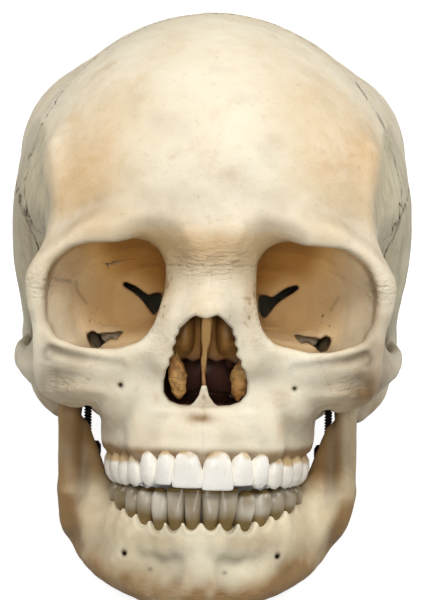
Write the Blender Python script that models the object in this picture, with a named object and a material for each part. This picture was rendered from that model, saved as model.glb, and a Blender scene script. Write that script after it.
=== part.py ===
"""A human skull with its lower jaw, built bone by bone as still solids.

Lengths are in millimetres while the bones are shaped: X to the skull's left, Y to the back of the head,
Z up, with the ear holes near the origin. The last step leans the skull back to rest on the floor.
"""
from collections import namedtuple

import bmesh
import bpy
import numpy as np
import openvdb
from mathutils import Matrix, Vector
from mathutils.bvhtree import BVHTree

MM = 0.001
STEP = 1.5
GAP = 0.3
FAR = 40.0
LEAN = 22.7
REST_PLACE = (0, 3.66, 50.891)
CRANIUM_FACES = 6680
JAW_FACES = 1700

Shape = namedtuple("Shape", "low high distance")


# Shapes, as distances


def turned_back(degrees, x, y, z):
    """The point in a frame that was turned about Z by the angle."""
    angle = np.radians(degrees)
    c, s = np.cos(angle), np.sin(angle)
    return c * x + s * y, c * y - s * x, z


def egg(centre, radii, power=2.0, turn=0):
    """A rounded solid, with a higher power for a squarer one, turned about Z."""
    centre = np.array(centre, float)
    reach = np.array(radii, float)
    if turn:
        reach[:2] = max(radii[:2])

    def distance(x, y, z):
        x, y, z = turned_back(turn, x - centre[0], y - centre[1], z - centre[2])
        norm = (np.abs(x / radii[0]) ** power + np.abs(y / radii[1]) ** power
                + np.abs(z / radii[2]) ** power) ** (1 / power)
        norm = np.maximum(norm, 1e-3)
        if power != 2.0:
            return np.sqrt(x * x + y * y + z * z) * (1 - 1 / norm)
        slope = np.sqrt((x / radii[0] ** 2) ** 2 + (y / radii[1] ** 2) ** 2 + (z / radii[2] ** 2) ** 2)
        return norm * (norm - 1) / np.maximum(slope, 1e-6)

    return Shape(centre - reach, centre + reach, distance)


def smooth_path(points, each):
    """More points on a smooth curve through the given ones."""
    points = np.array(points, float)
    if len(points) == 2:
        return points
    padded = np.vstack([2 * points[0] - points[1], points, 2 * points[-1] - points[-2]])
    found = []
    for i in range(len(points) - 1):
        p0, p1, p2, p3 = padded[i:i + 4]
        for t in np.arange(each) / each:
            found.append(p1 + ((p2 - p0) * t + (2 * p0 - 5 * p1 + 4 * p2 - p3) * t ** 2
                               + (3 * p1 - p0 - 3 * p2 + p3) * t ** 3) / 2)
    return np.array(found + [points[-1]])


def rod(points, flat=(1, 1, 1), each=5):
    """A round bar through points given as x, y, z and radius, squeezed along the axes by flat."""
    path = smooth_path(points, each)
    flat = np.array(flat, float)
    reach = path[:, 3:] * flat

    def distance(x, y, z):
        nearest = FAR
        for start, end in zip(path[:-1], path[1:]):
            step = (end[:3] - start[:3]) / flat
            px, py, pz = (x - start[0]) / flat[0], (y - start[1]) / flat[1], (z - start[2]) / flat[2]
            t = np.clip((px * step[0] + py * step[1] + pz * step[2]) / (step @ step), 0, 1)
            away = np.sqrt((px - t * step[0]) ** 2 + (py - t * step[1]) ** 2 + (pz - t * step[2]) ** 2)
            nearest = np.minimum(nearest, away - start[3] - t * (end[3] - start[3]))
        return nearest * flat.min()

    return Shape((path[:, :3] - reach).min(axis=0), (path[:, :3] + reach).max(axis=0), distance)


def outline_distance(outline, a, b):
    """How far the point is outside a closed outline, negative inside."""
    nearest = 1e9
    inside = np.zeros(np.broadcast(a, b).shape, bool)
    for (a0, b0), (a1, b1) in zip(outline, np.roll(outline, -1, axis=0)):
        da, db = a1 - a0, b1 - b0
        t = np.clip(((a - a0) * da + (b - b0) * db) / (da * da + db * db), 0, 1)
        nearest = np.minimum(nearest, (a - a0 - t * da) ** 2 + (b - b0 - t * db) ** 2)
        if b0 != b1:
            inside ^= ((b0 > b) != (b1 > b)) & (a < (b - b0) * da / db + a0)
    return np.where(inside, -1, 1) * np.sqrt(nearest)


def slab(axis, outline, middle, half, rounding, low, high):
    """A plate cut to an outline; middle gives where it lies along the axis, half its half thickness."""
    outline = np.array(outline, float)
    others = [i for i in range(3) if i != axis]

    def distance(x, y, z):
        every = (x, y, z)
        a, b = every[others[0]], every[others[1]]
        side = outline_distance(outline, a, b) + rounding
        face = np.abs(every[axis] - middle(a, b)) - half + rounding
        out = np.sqrt(np.maximum(side, 0) ** 2 + np.maximum(face, 0) ** 2)
        return out + np.minimum(np.maximum(side, face), 0) - rounding

    return Shape(np.array(low, float), np.array(high, float), distance)


def soft_min(a, b, blend):
    if blend == 0:
        return np.minimum(a, b)
    overlap = np.maximum(blend - np.abs(a - b), 0) / blend
    return np.minimum(a, b) - overlap * overlap * blend / 4


class HalfField:
    """Distances to a bone on a grid over the skull's left half; the right half mirrors it."""

    def __init__(self, low, high, step):
        self.step = step
        self.axes = [np.arange(a, b + step, step, dtype=np.float32) for a, b in zip(low, high)]
        self.values = np.full([len(axis) for axis in self.axes], FAR, np.float32)

    def near(self, shape, margin):
        part = tuple(slice(int(np.searchsorted(axis, low - margin)), int(np.searchsorted(axis, high + margin)))
                     for axis, low, high in zip(self.axes, shape.low, shape.high))
        x, y, z = np.meshgrid(*(axis[s] for axis, s in zip(self.axes, part)), indexing="ij", sparse=True)
        return part, shape.distance(x, y, z).astype(np.float32)

    def add(self, shape, blend=0.0):
        part, distance = self.near(shape, blend + 4)
        self.values[part] = soft_min(self.values[part], distance, blend)

    def cut(self, shape, blend=0.0):
        part, distance = self.near(shape, blend + 4)
        self.values[part] = -soft_min(-self.values[part], distance, blend)

    def skin(self, name):
        """A closed mesh of both halves, in metres."""
        grid = openvdb.FloatGrid(FAR)
        grid.copyFromArray(np.concatenate([self.values[:0:-1], self.values]))
        points, _, quads = grid.convertToPolygons(0.0, 0.0)
        corner = np.array([-self.axes[0][-1], self.axes[1][0], self.axes[2][0]])
        mesh = bpy.data.meshes.new(name)
        mesh.from_pydata(((points * self.step + corner) * MM).tolist(), [], quads.tolist())
        return mesh


# The bones of the head


def braincase():
    def distance(x, y, z):
        y, z = y - 12, z - 44
        lower = z < 0
        back = y > 0
        p = np.where(lower, 2.35, 1.93)
        cross = (np.abs(x / 70.6) ** p + np.abs(z / np.where(lower, 74, 72.5)) ** p) ** (1 / p)
        p = np.where(back, 2.0, 2.25)
        norm = (cross ** p + np.abs(y / np.where(back, 75.5, 102)) ** p) ** (1 / p)
        return np.sqrt(x * x + y * y + z * z) * (1 - 1 / np.maximum(norm, 1e-3))

    return Shape(np.array((0, -90, -30)), np.array((71, 88, 117)), distance)


def under_brow():
    """Everything below a plane that slopes back and down from the brow."""
    def distance(x, y, z):
        return ((y + 92) * 0.56 + (z - 21)) / 1.146

    return Shape(np.array((0, -104, -62)), np.array((78, 40, 30)), distance)


def face_front(x, z):
    """How far forward the upper jaw and the cheek bones stand."""
    high = np.interp(x, (0, 8, 14, 20, 30, 40, 48, 54, 58, 62),
                     (-88, -86, -83.5, -82.5, -80.5, -77, -72.5, -67, -61, -54))
    low = np.interp(x, (0, 8, 14, 19, 24, 28, 31, 34), (-89.5, -88, -85, -81, -74, -66, -58, -46))
    weight = np.clip((z + 27) / 13, 0, 1)
    weight = weight * weight * (3 - 2 * weight)
    hollow = 4.5 * np.exp(-((x - 25) / 7.5) ** 2 - ((z + 14) / 6.5) ** 2)
    return low + (high - low) * weight + hollow


FACE = ((0, 8), (5, 30), (14, 30), (16, 2), (45, -4), (50.5, 2), (52, 14), (52.5, 22), (56.5, 21),
        (57.2, 12), (57.2, 4), (58, -2), (58.5, -7), (57.3, -11.5), (54, -15.5), (49, -18.8), (43, -20),
        (37.5, -19.5), (35, -23), (34, -34), (0, -34))
NOSE = ((0, 12.3), (2.8, 11.6), (5.5, 9.3), (7.5, 4), (10.5, -3), (12.6, -8), (13.4, -12), (12.6, -15.5),
        (9.5, -17.8), (4, -18.4), (0, -18.6))


def orbit_socket():
    depths = (-104, -87, -80, -70, -60, -50, -42, -38)
    inner = (16.5, 15.8, 14.0, 13.0, 12.4, 12.0, 12.2, 14)
    outer = (56, 55, 54, 52.6, 44.5, 32.0, 18.0, 14.5)
    top = (31.5, 31.5, 34.0, 34.5, 31.5, 25.5, 18.5, 15)
    bottom = (-1.5, -1.5, -2.5, -2.5, 0.5, 5.5, 10.5, 14)

    def distance(x, y, z):
        x0, x1 = np.interp(y, depths, inner), np.interp(y, depths, outer)
        z0, z1 = np.interp(y, depths, bottom), np.interp(y, depths, top)
        u = x - (x0 + x1) / 2
        v = z - (z0 + z1) / 2 + 0.16 * u
        wide, tall = (x1 - x0) / 2, (z1 - z0) / 2
        norm = (np.abs(u / wide) ** 2.7 + np.abs(v / tall) ** 2.7) ** (1 / 2.7)
        return (norm - 1) * np.minimum(wide, tall) * 0.8

    return Shape(np.array((8, -104, -8)), np.array((60, -38, 40)), distance)


def mirrored_outline(points):
    return points + tuple((-a, b) for a, b in reversed(points) if a > 0)


def arch(wide, long, back, height, rise, radius, spread=0.0):
    """The points of half a row of teeth."""
    points = []
    for angle in np.radians(np.linspace(-2, 96, 9)):
        far = 1 - np.cos(angle)
        points.append((wide * np.sin(angle) + spread * far, back - long * np.cos(angle),
                       height + rise * far, radius))
    return points


def cranium(step):
    field = HalfField((0, -106, -62), (78, 96, 122), step)
    field.add(braincase())
    # Back of the head
    field.add(egg((0, 62, 20), (44, 25, 32)), 20)
    field.add(egg((46, 24, 74), (19, 32, 19)), 16)
    field.cut(under_brow(), 12)
    field.add(egg((22, 46, -12), (27, 26, 21)), 20)
    field.add(egg((43, 8, 2), (18, 26, 18)), 14)
    # Temple hollow
    field.cut(egg((86, -50, 8), (43, 30, 38)), 9)
    # Brow, and the ridge that runs up from it
    field.add(rod(((0, -86.3, 34, 5.2), (12, -87, 35, 5.8), (24, -84.5, 37, 5.2), (38, -79.5, 35, 4.6),
                   (48, -74.5, 28.5, 4.2), (54, -70.5, 20, 3.8), (54.5, -70, 14, 3.6))), 9)
    field.add(rod(((53, -69, 22, 3), (49.6, -66, 31, 2.4), (46.5, -65, 42, 1.6), (47, -64, 52, 1.2),
                   (50, -56, 64, 0.8))), 12)
    # Upper jaw and cheek, one curved plate
    field.add(slab(1, FACE, lambda x, z: face_front(x, z) + 4.2, 4.2, 3.0, (0, -92, -34), (59, -45, 30)), 5)
    # Wall beside the orbit
    field.add(egg((45.2, -59.5, 7), (4.2, 17, 25), 2.4, turn=41), 7)
    field.add(egg((34, -46, 4), (11, 12, 20), 2.4), 8)
    # Upper jaw behind the plate
    field.add(egg((20, -64, -11), (16.5, 19, 16), 2.8), 6)
    field.add(egg((22, -56, -24), (11.5, 14, 12), 2.6), 5)
    # Bridge of the nose
    field.add(rod(((0, -82.5, 28, 5), (0, -86.5, 18, 5.6), (0, -91, 11, 6.4))), 6)
    field.add(rod(((6, -84, 26, 4), (7.5, -85.5, 16, 4.6), (9.5, -86.5, 6, 5), (12, -84.5, -2, 5))), 7)
    # Lower rim of the orbit
    field.add(rod(((49, -72, -3.5, 4.2), (40, -76.5, -4.6, 3.6), (29, -79.5, -4.4, 3.4), (20, -82, -1.5, 3.2),
                   (14.5, -83, 5, 3), (12.5, -83.5, 13, 3))), 5)
    # Bone round the upper teeth, and the palate
    field.add(rod(arch(27.6, 39.4, -46, -27.5, 0, 5.8), (1, 1, 1.2), 3), 5)
    field.add(rod(((16, -80, -16, 4), (18.5, -80.5, -25, 4.6), (19.5, -79.5, -31, 4.4))), 5)
    field.add(egg((0, -62, -20.5), (27, 25, 3.6), 2.6), 3)
    # Cheek arch
    field.add(rod(((53, -67, -7.5, 5.8), (57.5, -58.5, -7, 5.4), (61, -49, -6, 5), (63.4, -38, -4.5, 4.6),
                   (63.8, -25, -3.5, 4.6), (62.5, -12, -2, 4.6), (59, 0, 0, 5)), (0.45, 1, 1)), 4)
    field.add(rod(((59, -10, 0, 3), (61.5, 4, 1.5, 3.4), (60, 20, 2, 3), (57, 34, 6, 1.5))), 6)
    # Orbit and nose
    field.cut(orbit_socket(), 1.8)
    field.cut(slab(1, mirrored_outline(NOSE), lambda x, z: -75, 30, 0.5, (0, -105, -19), (14, -45, 13)), 1.0)
    field.add(rod(((0, -82, -19, 2.6), (0, -88, -18, 2.2), (0, -91.5, -16.5, 1.2))), 1.5)
    # Lump behind the ear, ear hole and the hollow for the jaw
    field.add(rod(((55, 22, -2, 12), (54.5, 17, -14, 10), (52, 12.5, -22, 6))), 7)
    field.add(rod(((60, 1, -9, 3), (52, 0.5, -11, 2.8), (42, -1.5, -12, 2.8))), 4)
    field.cut(rod(((74, 2, -2.5, 4.6), (50, 2, -2.5, 3.2))), 2)
    field.cut(egg((50, -11, -3.5), (11.3, 7.6, 6)), 2)
    field.cut(egg((50, -11.5, -12), (12, 7.6, 9)), 2)
    # Room for the jaw's front prong
    field.cut(egg((50, -35, -9), (9, 11, 16)), 3)
    # Hole under the head, with the two lumps beside it
    field.cut(egg((0, 17, -30), (14.5, 17.5, 26)), 2.5)
    field.add(rod(((17, 6, -25, 4), (14, 13, -27, 4))), 4)
    # Middle of the base and its wings
    field.add(egg((0, -26, -8), (15, 26, 12)), 8)
    field.add(rod(((12, -42, -6, 3.4), (12.5, -41, -18, 2.4), (11, -40, -29, 1.6)), (1, 1.4, 1)), 3)
    field.add(rod(((17, -39, -6, 3.4), (20, -36, -17, 2), (22, -34, -27, 1.5)), (1, 1.4, 1)), 3)
    return field


BRANCH = ((-7, -12), (-6, -20), (-8.5, -34), (-11, -46), (-14.5, -55), (-22, -60.5), (-32, -64), (-42, -62),
          (-46, -50), (-43.5, -38), (-41.5, -24), (-41, -12), (-38.5, -4.5), (-35.5, -3.5), (-32, -9),
          (-26, -15), (-19, -15.5), (-13.5, -11))


def branch_middle(y, z):
    lower = np.maximum(-48 - z, 0)
    return 47.0 + 0.02 * (z + 36) + 0.03 * (y + 26) - 0.03 * lower ** 1.6


def jaw(step):
    field = HalfField((0, -100, -92), (64, 6, 8), step)
    field.add(rod(((0, -79.5, -68.5, 5.4), (10, -78.5, -68.5, 5.4), (19, -72.5, -67, 5.4), (27, -60, -64.5, 5.3),
                   (33.5, -47, -60.5, 5.2), (38.5, -36, -57, 4.8), (43, -27, -53, 4.2)), (1, 1, 1.8)))
    # Lower edge
    field.add(rod(((0, -77.5, -75.2, 5.8), (10, -76.8, -75.2, 5.8), (20, -71.5, -74.5, 5.8),
                   (29.5, -59, -72, 5.4), (35.5, -47, -68.7, 5), (39.5, -35, -65, 4.6), (43, -25, -60.5, 4.2),
                   (45.5, -17, -55, 3.8))), 5)
    # Bone round the lower teeth, and the ridge from it to the branch
    field.add(rod(arch(25.5, 37.4, -46, -65.5, 9.5, 5, 2) + [(34, -38, -54.5, 5)], (1, 1, 1.2), 3), 6)
    field.add(rod(((35, -50, -60, 4.5), (40, -42, -56, 4.5), (44.5, -35, -49, 4))), 7)
    # Chin
    field.add(rod(((0, -82, -71, 3.2), (0, -81, -76, 3.8))), 7)
    field.add(rod(((0, -79.5, -76.5, 5), (9, -79, -77, 4.2), (15, -77, -76.5, 3))), 6)
    # Branch and the knuckle on it
    field.add(slab(0, BRANCH, branch_middle, 3.5, 3.0, (35, -46, -64), (52, -6, -3)), 5)
    field.add(rod(((48.5, -12.5, -22, 3.2), (49.5, -11, -12, 3.4), (50, -10.8, -7, 3.4))), 4)
    field.add(egg((50, -10.8, -2.4), (9.5, 4.2, 4)), 3)
    return field


# Teeth: width along the row, thickness, crown height and kind, from the middle to the back

UPPER_TEETH = ((9.9, 7.0, 12.2, "blade"), (7.6, 6.4, 10.8, "blade"), (7.6, 8.2, 11.2, "point"),
               (7.0, 9.0, 9.4, "block"), (6.8, 9.0, 8.8, "block"), (10.2, 11.0, 8.2, "block"),
               (9.6, 11.0, 7.6, "block"))
UPPER_NECKS = (-32.0, -32.8, -33.2, -34.6, -35.2, -35.6, -36.0)
LOWER_TEETH = ((6.0, 6.0, 9.5, "blade"), (6.4, 6.2, 9.5, "blade"), (7.0, 7.6, 10.5, "point"),
               (7.0, 8.0, 9.0, "block"), (7.2, 8.4, 8.6, "block"), (11.0, 10.4, 8.0, "block"),
               (10.4, 10.2, 7.8, "block"))
LOWER_NECKS = (-55.2, -55.0, -55.6, -54.2, -53.6, -52.6, -52.2)
# Height in roots or crowns, width, thickness, and shift outwards in millimetres
TOOTH_RINGS = {
    "blade": ((-1, 0.34, 0.5, -3.2), (-0.4, 0.6, 0.8, -1.6), (0, 0.78, 0.94, -0.5), (0.35, 0.93, 0.95, 0),
              (0.75, 0.98, 0.58, 0.8), (0.99, 0.95, 0.28, 1.1)),
    "point": ((-1, 0.36, 0.5, -3.2), (-0.4, 0.62, 0.8, -1.6), (0, 0.8, 0.94, -0.5), (0.4, 0.96, 0.95, 0),
              (0.75, 0.88, 0.6, 0.6), (1, 0.3, 0.24, 0.9)),
    "block": ((-1, 0.5, 0.5, -2.4), (-0.4, 0.74, 0.74, -1.2), (0, 0.84, 0.9, -0.4), (0.45, 0.97, 1, 0),
              (0.85, 0.92, 0.82, 0), (1, 0.72, 0.5, 0)),
}
TOOTH_SIDES = 8


def tooth(place, out, size, down, root):
    """The points and faces of one tooth that stands at a place and faces out."""
    wide, thick, tall, kind = size
    along = np.array((-out[1], out[0], 0))
    points, faces = [], []
    rings = TOOTH_RINGS[kind]
    for height, w, t, shift in rings:
        lift = height * (tall if height > 0 else root)
        for i in range(TOOTH_SIDES):
            angle = (i + 0.5) * 2 * np.pi / TOOTH_SIDES
            c, s = np.cos(angle), np.sin(angle)
            a = np.sign(c) * abs(c) ** 0.75 * (wide - GAP) * w / 2
            b = np.sign(s) * abs(s) ** 0.75 * thick * t / 2 + shift
            points.append((place + along * a + out * b + np.array((0, 0, down * lift))) * MM)
    for r in range(len(rings) - 1):
        for i in range(TOOTH_SIDES):
            j = (i + 1) % TOOTH_SIDES
            faces.append([r * TOOTH_SIDES + i, r * TOOTH_SIDES + j, (r + 1) * TOOTH_SIDES + j,
                          (r + 1) * TOOTH_SIDES + i])
    faces.append(list(range(TOOTH_SIDES)))
    faces.append([(len(rings) - 1) * TOOTH_SIDES + i for i in range(TOOTH_SIDES)])
    return points, faces


def row_of_teeth(sizes, necks, wide, long, back, down, root, side):
    angle = np.linspace(0, np.pi / 2, 400)
    curve = np.stack([wide * np.sin(angle), back - long * np.cos(angle)], axis=1)
    gone = np.concatenate([[0], np.cumsum(np.linalg.norm(np.diff(curve, axis=0), axis=1))])
    at = 2 * GAP
    for size, neck in zip(sizes, necks):
        here = at + size[0] / 2
        at += size[0]
        px, py = (np.interp(here, gone, curve[:, i]) for i in (0, 1))
        qx, qy = (np.interp(here + 0.5, gone, curve[:, i]) for i in (0, 1))
        out = np.array(((qy - py) * side, px - qx, 0)) / np.hypot(qx - px, qy - py)
        yield tooth(np.array((px * side, py, neck)) - out * size[1] / 2, out, size, down, root)


# Solids


def new_object(name, mesh):
    thing = bpy.data.objects.new(name, mesh)
    bpy.context.scene.collection.objects.link(thing)
    return thing


def solid(name, points, faces):
    mesh = bpy.data.meshes.new(name)
    mesh.from_pydata([tuple(p) for p in points], [], faces)
    work = bmesh.new()
    work.from_mesh(mesh)
    bmesh.ops.recalc_face_normals(work, faces=work.faces)
    work.to_mesh(mesh)
    work.free()
    return new_object(name, mesh)


def apply_changes(thing):
    """Puts what the modifiers made into the mesh."""
    depsgraph = bpy.context.evaluated_depsgraph_get()
    mesh = bpy.data.meshes.new_from_object(thing.evaluated_get(depsgraph))
    thing.modifiers.clear()
    thing.data = mesh


def fewer_faces(thing, wanted):
    """Thins a mesh out, with a few more faces when it doesn't stay closed."""
    full = thing.data
    for more in range(0, 400, 20):
        thing.data = full
        change = thing.modifiers.new("fewer", "DECIMATE")
        change.ratio = (wanted + more) / (2 * len(full.polygons))
        apply_changes(thing)
        if is_closed(thing.data):
            return
    raise ValueError(thing.name + " doesn't stay closed")


def is_closed(mesh):
    work = bmesh.new()
    work.from_mesh(mesh)
    closed = all(edge.is_manifold for edge in work.edges)
    work.free()
    return closed


def combine(thing, other, how):
    change = thing.modifiers.new(how, "BOOLEAN")
    change.operation = how
    change.solver = "EXACT"
    change.object = other
    apply_changes(thing)
    bpy.data.objects.remove(other)


def moved_outline(outline, grow):
    """A closed outline, given anticlockwise, with every side moved outwards."""
    outline = [Vector(p) for p in outline]
    moved = []
    for before, here, after in zip(outline[-1:] + outline[:-1], outline, outline[1:] + outline[:1]):
        a, b = (here - before).normalized(), (after - here).normalized()
        out_a, out_b = Vector((a.y, -a.x)), Vector((b.y, -b.x))
        moved.append(here + (out_a + out_b) * grow / (1 + out_a.dot(out_b)))
    return moved


def prism(axis, outline, start, end, grow):
    """A solid with an outline for its section, along an axis."""
    outline = moved_outline(outline, grow)
    points = []
    for along in (start - grow, end + grow):
        for a, b in outline:
            point = [a, b]
            point.insert(axis, along)
            points.append(Vector(point) * MM)
    n = len(outline)
    faces = [tuple(range(n)), tuple(range(n, 2 * n))]
    faces += [(i, (i + 1) % n, n + (i + 1) % n, n + i) for i in range(n)]
    return solid("cutter", points, faces)


def largest_body(thing):
    """Leaves only the body with the most points."""
    work = bmesh.new()
    work.from_mesh(thing.data)
    work.verts.ensure_lookup_table()
    seen, bodies = set(), []
    for start in work.verts:
        if start in seen:
            continue
        body, waiting = [], [start]
        seen.add(start)
        while waiting:
            here = waiting.pop()
            body.append(here)
            for edge in here.link_edges:
                other = edge.other_vert(here)
                if other not in seen:
                    seen.add(other)
                    waiting.append(other)
        bodies.append(body)
    bodies.sort(key=len)
    for body in bodies[:-1]:
        bmesh.ops.delete(work, geom=body, context="VERTS")
    work.to_mesh(thing.data)
    work.free()


def parted(thing, name, axis, outline, start=-120, end=120):
    """Takes the part of a thing inside a prism off as a thing of its own, with a thin gap left."""
    piece = new_object(name, thing.data.copy())
    combine(piece, prism(axis, outline, start, end, -GAP / 2), "INTERSECT")
    combine(thing, prism(axis, outline, start, end, GAP / 2), "DIFFERENCE")
    return piece


def clean(thing):
    """One closed body of triangles, without slivers."""
    work = bmesh.new()
    work.from_mesh(thing.data)
    bmesh.ops.remove_doubles(work, verts=work.verts, dist=0.01 * MM)
    # Faces that would be cut along the same line as another one are cut from their middle
    trial = work.copy()
    bmesh.ops.triangulate(trial, faces=trial.faces)
    doubled = [{vertex.index for vertex in edge.verts} for edge in trial.edges if len(edge.link_faces) > 2]
    trial.free()
    clashing = [face for face in work.faces if len(face.verts) > 3
                and any(pair <= {vertex.index for vertex in face.verts} for pair in doubled)]
    bmesh.ops.poke(work, faces=clashing)
    bmesh.ops.triangulate(work, faces=work.faces)
    work.to_mesh(thing.data)
    work.free()
    largest_body(thing)
    thing.data.name = thing.name
    if not is_closed(thing.data):
        print(thing.name, "isn't closed")


# Where the bones meet: outlines in Y and Z, X and Y, or X and Z, anticlockwise

FRONTAL = ((-120, 26), (-80, 26), (-72, 18.5), (-66, 19), (-42, 38), (-20, 116), (-14, 140), (-120, 140))
PARIETAL = ((-42, 38), (-30, 50), (-14, 54.5), (3, 54), (20, 46), (33, 30), (42, 14), (76, 78), (110, 142),
            (-14, 140), (-20, 116))
OCCIPITAL = ((-12, -8), (12, -8), (22, 4), (35, 22), (60, 44), (90, 60), (90, 110), (-90, 110), (-90, 60),
             (-60, 44), (-35, 22), (-22, 4))
TEMPORAL = ((22, -38), (90, -38), (90, 110), (22, 110))
SPHENOID = ((-33, -45), (33, -45), (41, -60), (52, -52), (54, -30), (54, 30), (-54, 30), (-54, -30), (-52, -52),
            (-41, -60))
CHEEK = ((42.5, -21), (51, -40), (80, -40), (80, 30), (34, 30), (35, -3))
NASAL = ((-7.6, 8), (7.6, 8), (5.2, 30), (-5.2, 30))


def mirrored(outline):
    return tuple((-a, b) for a, b in reversed(outline))


def split_cranium(whole):
    bones = [parted(whole, "frontal_bone", 0, FRONTAL)]
    parietal = parted(whole, "parietal_left", 0, PARIETAL)
    right = parted(parietal, "parietal_right", 0, ((-120, -120), (130, -120), (130, 160), (-120, 160)), -120, 0)
    bones += [parietal, right]
    bones.append(parted(whole, "occipital_bone", 2, OCCIPITAL))
    bones.append(parted(whole, "temporal_left", 2, TEMPORAL))
    bones.append(parted(whole, "temporal_right", 2, mirrored(TEMPORAL)))
    bones.append(parted(whole, "sphenoid", 2, SPHENOID))
    bones.append(parted(whole, "zygomatic_left", 1, CHEEK))
    bones.append(parted(whole, "zygomatic_right", 1, mirrored(CHEEK)))
    nasal = parted(whole, "nasal_bone_left", 1, NASAL, -120, -80)
    bones.append(parted(nasal, "nasal_bone_right", 0, ((-120, -120), (0, -120), (0, 160), (-120, 160)), -120, 0))
    bones.append(nasal)
    right = parted(whole, "maxilla_right", 0, ((-120, -120), (0, -120), (0, 160), (-120, 160)), -120, 0)
    whole.name = "maxilla_left"
    bones += [right, whole]
    return bones


# What is fixed in the nose and on the jaw

SEPTUM = ((-89, 7), (-82, -6), (-78, -14), (-77, -17.6), (-56, -17.6), (-56, 7))
SPRING_X, SPRING_Y = 41.6, -16.0
SPRING_RADIUS = 1.4
SCREW_Z = -37.0
SCREW_HEAD = 3.0
SCREW_SHANK = 1.3


def lathe(name, start, axis, rings, sides):
    """A turned solid: rings of distance along the axis and radius."""
    start, axis = Vector(start), Vector(axis).normalized()
    across = axis.orthogonal().normalized()
    other = axis.cross(across)
    points = []
    for along, radius in rings:
        for i in range(sides):
            angle = 2 * np.pi * i / sides
            points.append((start + axis * along + (across * np.cos(angle) + other * np.sin(angle)) * radius) * MM)
    faces = [list(range(sides)), list(range((len(rings) - 1) * sides, len(rings) * sides))]
    for r in range(len(rings) - 1):
        for i in range(sides):
            j = (i + 1) % sides
            faces.append([r * sides + i, r * sides + j, (r + 1) * sides + j, (r + 1) * sides + i])
    return solid(name, points, faces)


def room_above(things, x, y, z, radius):
    """How high an upright bar can go before it meets one of the things, in millimetres."""
    heights = []
    for thing in things:
        tree = BVHTree.FromPolygons([v.co for v in thing.data.vertices], [p.vertices for p in thing.data.polygons])
        for angle in np.arange(0, 2 * np.pi, np.pi / 6):
            start = Vector((x + radius * np.cos(angle), y + radius * np.sin(angle), z))
            hit = tree.ray_cast(start * MM, Vector((0, 0, 1)))[0]
            if hit:
                heights.append(hit.z / MM)
    return min(heights)


def nose_plates():
    septum = prism(0, SEPTUM[::-1], -0.9, 0.9, 0)
    septum.name = "nasal_septum"
    plates = [septum]
    for side, name in ((1, "nasal_concha_left"), (-1, "nasal_concha_right")):
        rings = ((0, 0.4), (1.5, 1.4), (6, 2.2), (14, 2.5), (22, 2.3), (27, 1.2), (28, 0.4))
        concha = lathe(name, (0, -80, 0), (0, 1, 0), rings, 12)
        for vertex in concha.data.vertices:
            vertex.co = Vector((vertex.co.x + side * 9.9 * MM, vertex.co.y, vertex.co.z * 2.1 - 10.4 * MM))
        plates.append(concha)
    return plates


def jaw_springs(bones, mandible):
    things = []
    for side, name in ((1, "left"), (-1, "right")):
        hole = lathe("cutter", (side * 38, SPRING_Y, SCREW_Z), (side, 0, 0), ((0, 1.6), (8.5, 1.6)), 12)
        combine(mandible, hole, "DIFFERENCE")
        rings = ((0, 1.6), (0.9, SCREW_HEAD), (2.8, SCREW_HEAD), (3.1, SCREW_SHANK), (9.2, SCREW_SHANK))
        things.append(lathe("jaw_screw_" + name, (side * 36.9, SPRING_Y, SCREW_Z), (side, 0, 0), rings, 12))
        bottom = SCREW_Z + SCREW_SHANK + GAP
        top = room_above(bones, side * SPRING_X, SPRING_Y, bottom, SPRING_RADIUS + GAP) - GAP
        rings = ((0, SPRING_RADIUS), (top - bottom, SPRING_RADIUS))
        things.append(lathe("jaw_spring_" + name, (side * SPRING_X, SPRING_Y, bottom), (0, 0, 1), rings, 10))
    return things


def rest_frame():
    """An empty that leans the skull back to rest on its jaw and on the back of the head."""
    rest = bpy.data.objects.new("rest", None)
    bpy.context.scene.collection.objects.link(rest)
    rest.location = Vector(REST_PLACE) * MM
    rest.rotation_euler.x = np.radians(-LEAN)
    return rest


def stand_flat(foot):
    """Takes off the little that reaches under the floor, which leaves small flats."""
    lean = Matrix.Translation(Vector(REST_PLACE) * MM) @ Matrix.Rotation(np.radians(-LEAN), 4, "X")
    under = prism(0, ((-300, -50), (300, -50), (300, 0), (-300, 0)), -300, 300, 0)
    under.data.transform(lean.inverted())
    combine(foot, under, "DIFFERENCE")


# Colour, roughness and how metallic each piece is

BONE_PALE = ((0.80, 0.70, 0.50), 0.55, 0.0)
BONE_GREY = ((0.62, 0.58, 0.47), 0.6, 0.0)
BONE_TAN = ((0.72, 0.60, 0.40), 0.6, 0.0)
BONE_BROWN = ((0.42, 0.25, 0.10), 0.7, 0.0)
STEEL_DARK = ((0.06, 0.055, 0.05), 0.4, 0.9)
FINISHES = {"frontal": BONE_PALE, "nasal_bone": BONE_PALE, "maxilla": BONE_PALE, "zygomatic": BONE_TAN,
            "mandible": BONE_TAN, "parietal": BONE_GREY, "temporal": BONE_GREY, "occipital": BONE_GREY,
            "sphenoid": BONE_TAN, "nasal": BONE_BROWN, "jaw": STEEL_DARK}


def finish(thing):
    colour, roughness, metallic = next(look for start, look in FINISHES.items() if thing.name.startswith(start))
    material = bpy.data.materials.new(thing.name)
    material.use_nodes = True
    shader = material.node_tree.nodes["Principled BSDF"]
    shader.inputs["Base Color"].default_value = (*colour, 1)
    shader.inputs["Roughness"].default_value = roughness
    shader.inputs["Metallic"].default_value = metallic
    thing.data.materials.clear()
    thing.data.materials.append(material)
    thing.data.shade_smooth()
    thing.data.set_sharp_from_angle(angle=np.radians(40))


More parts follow.
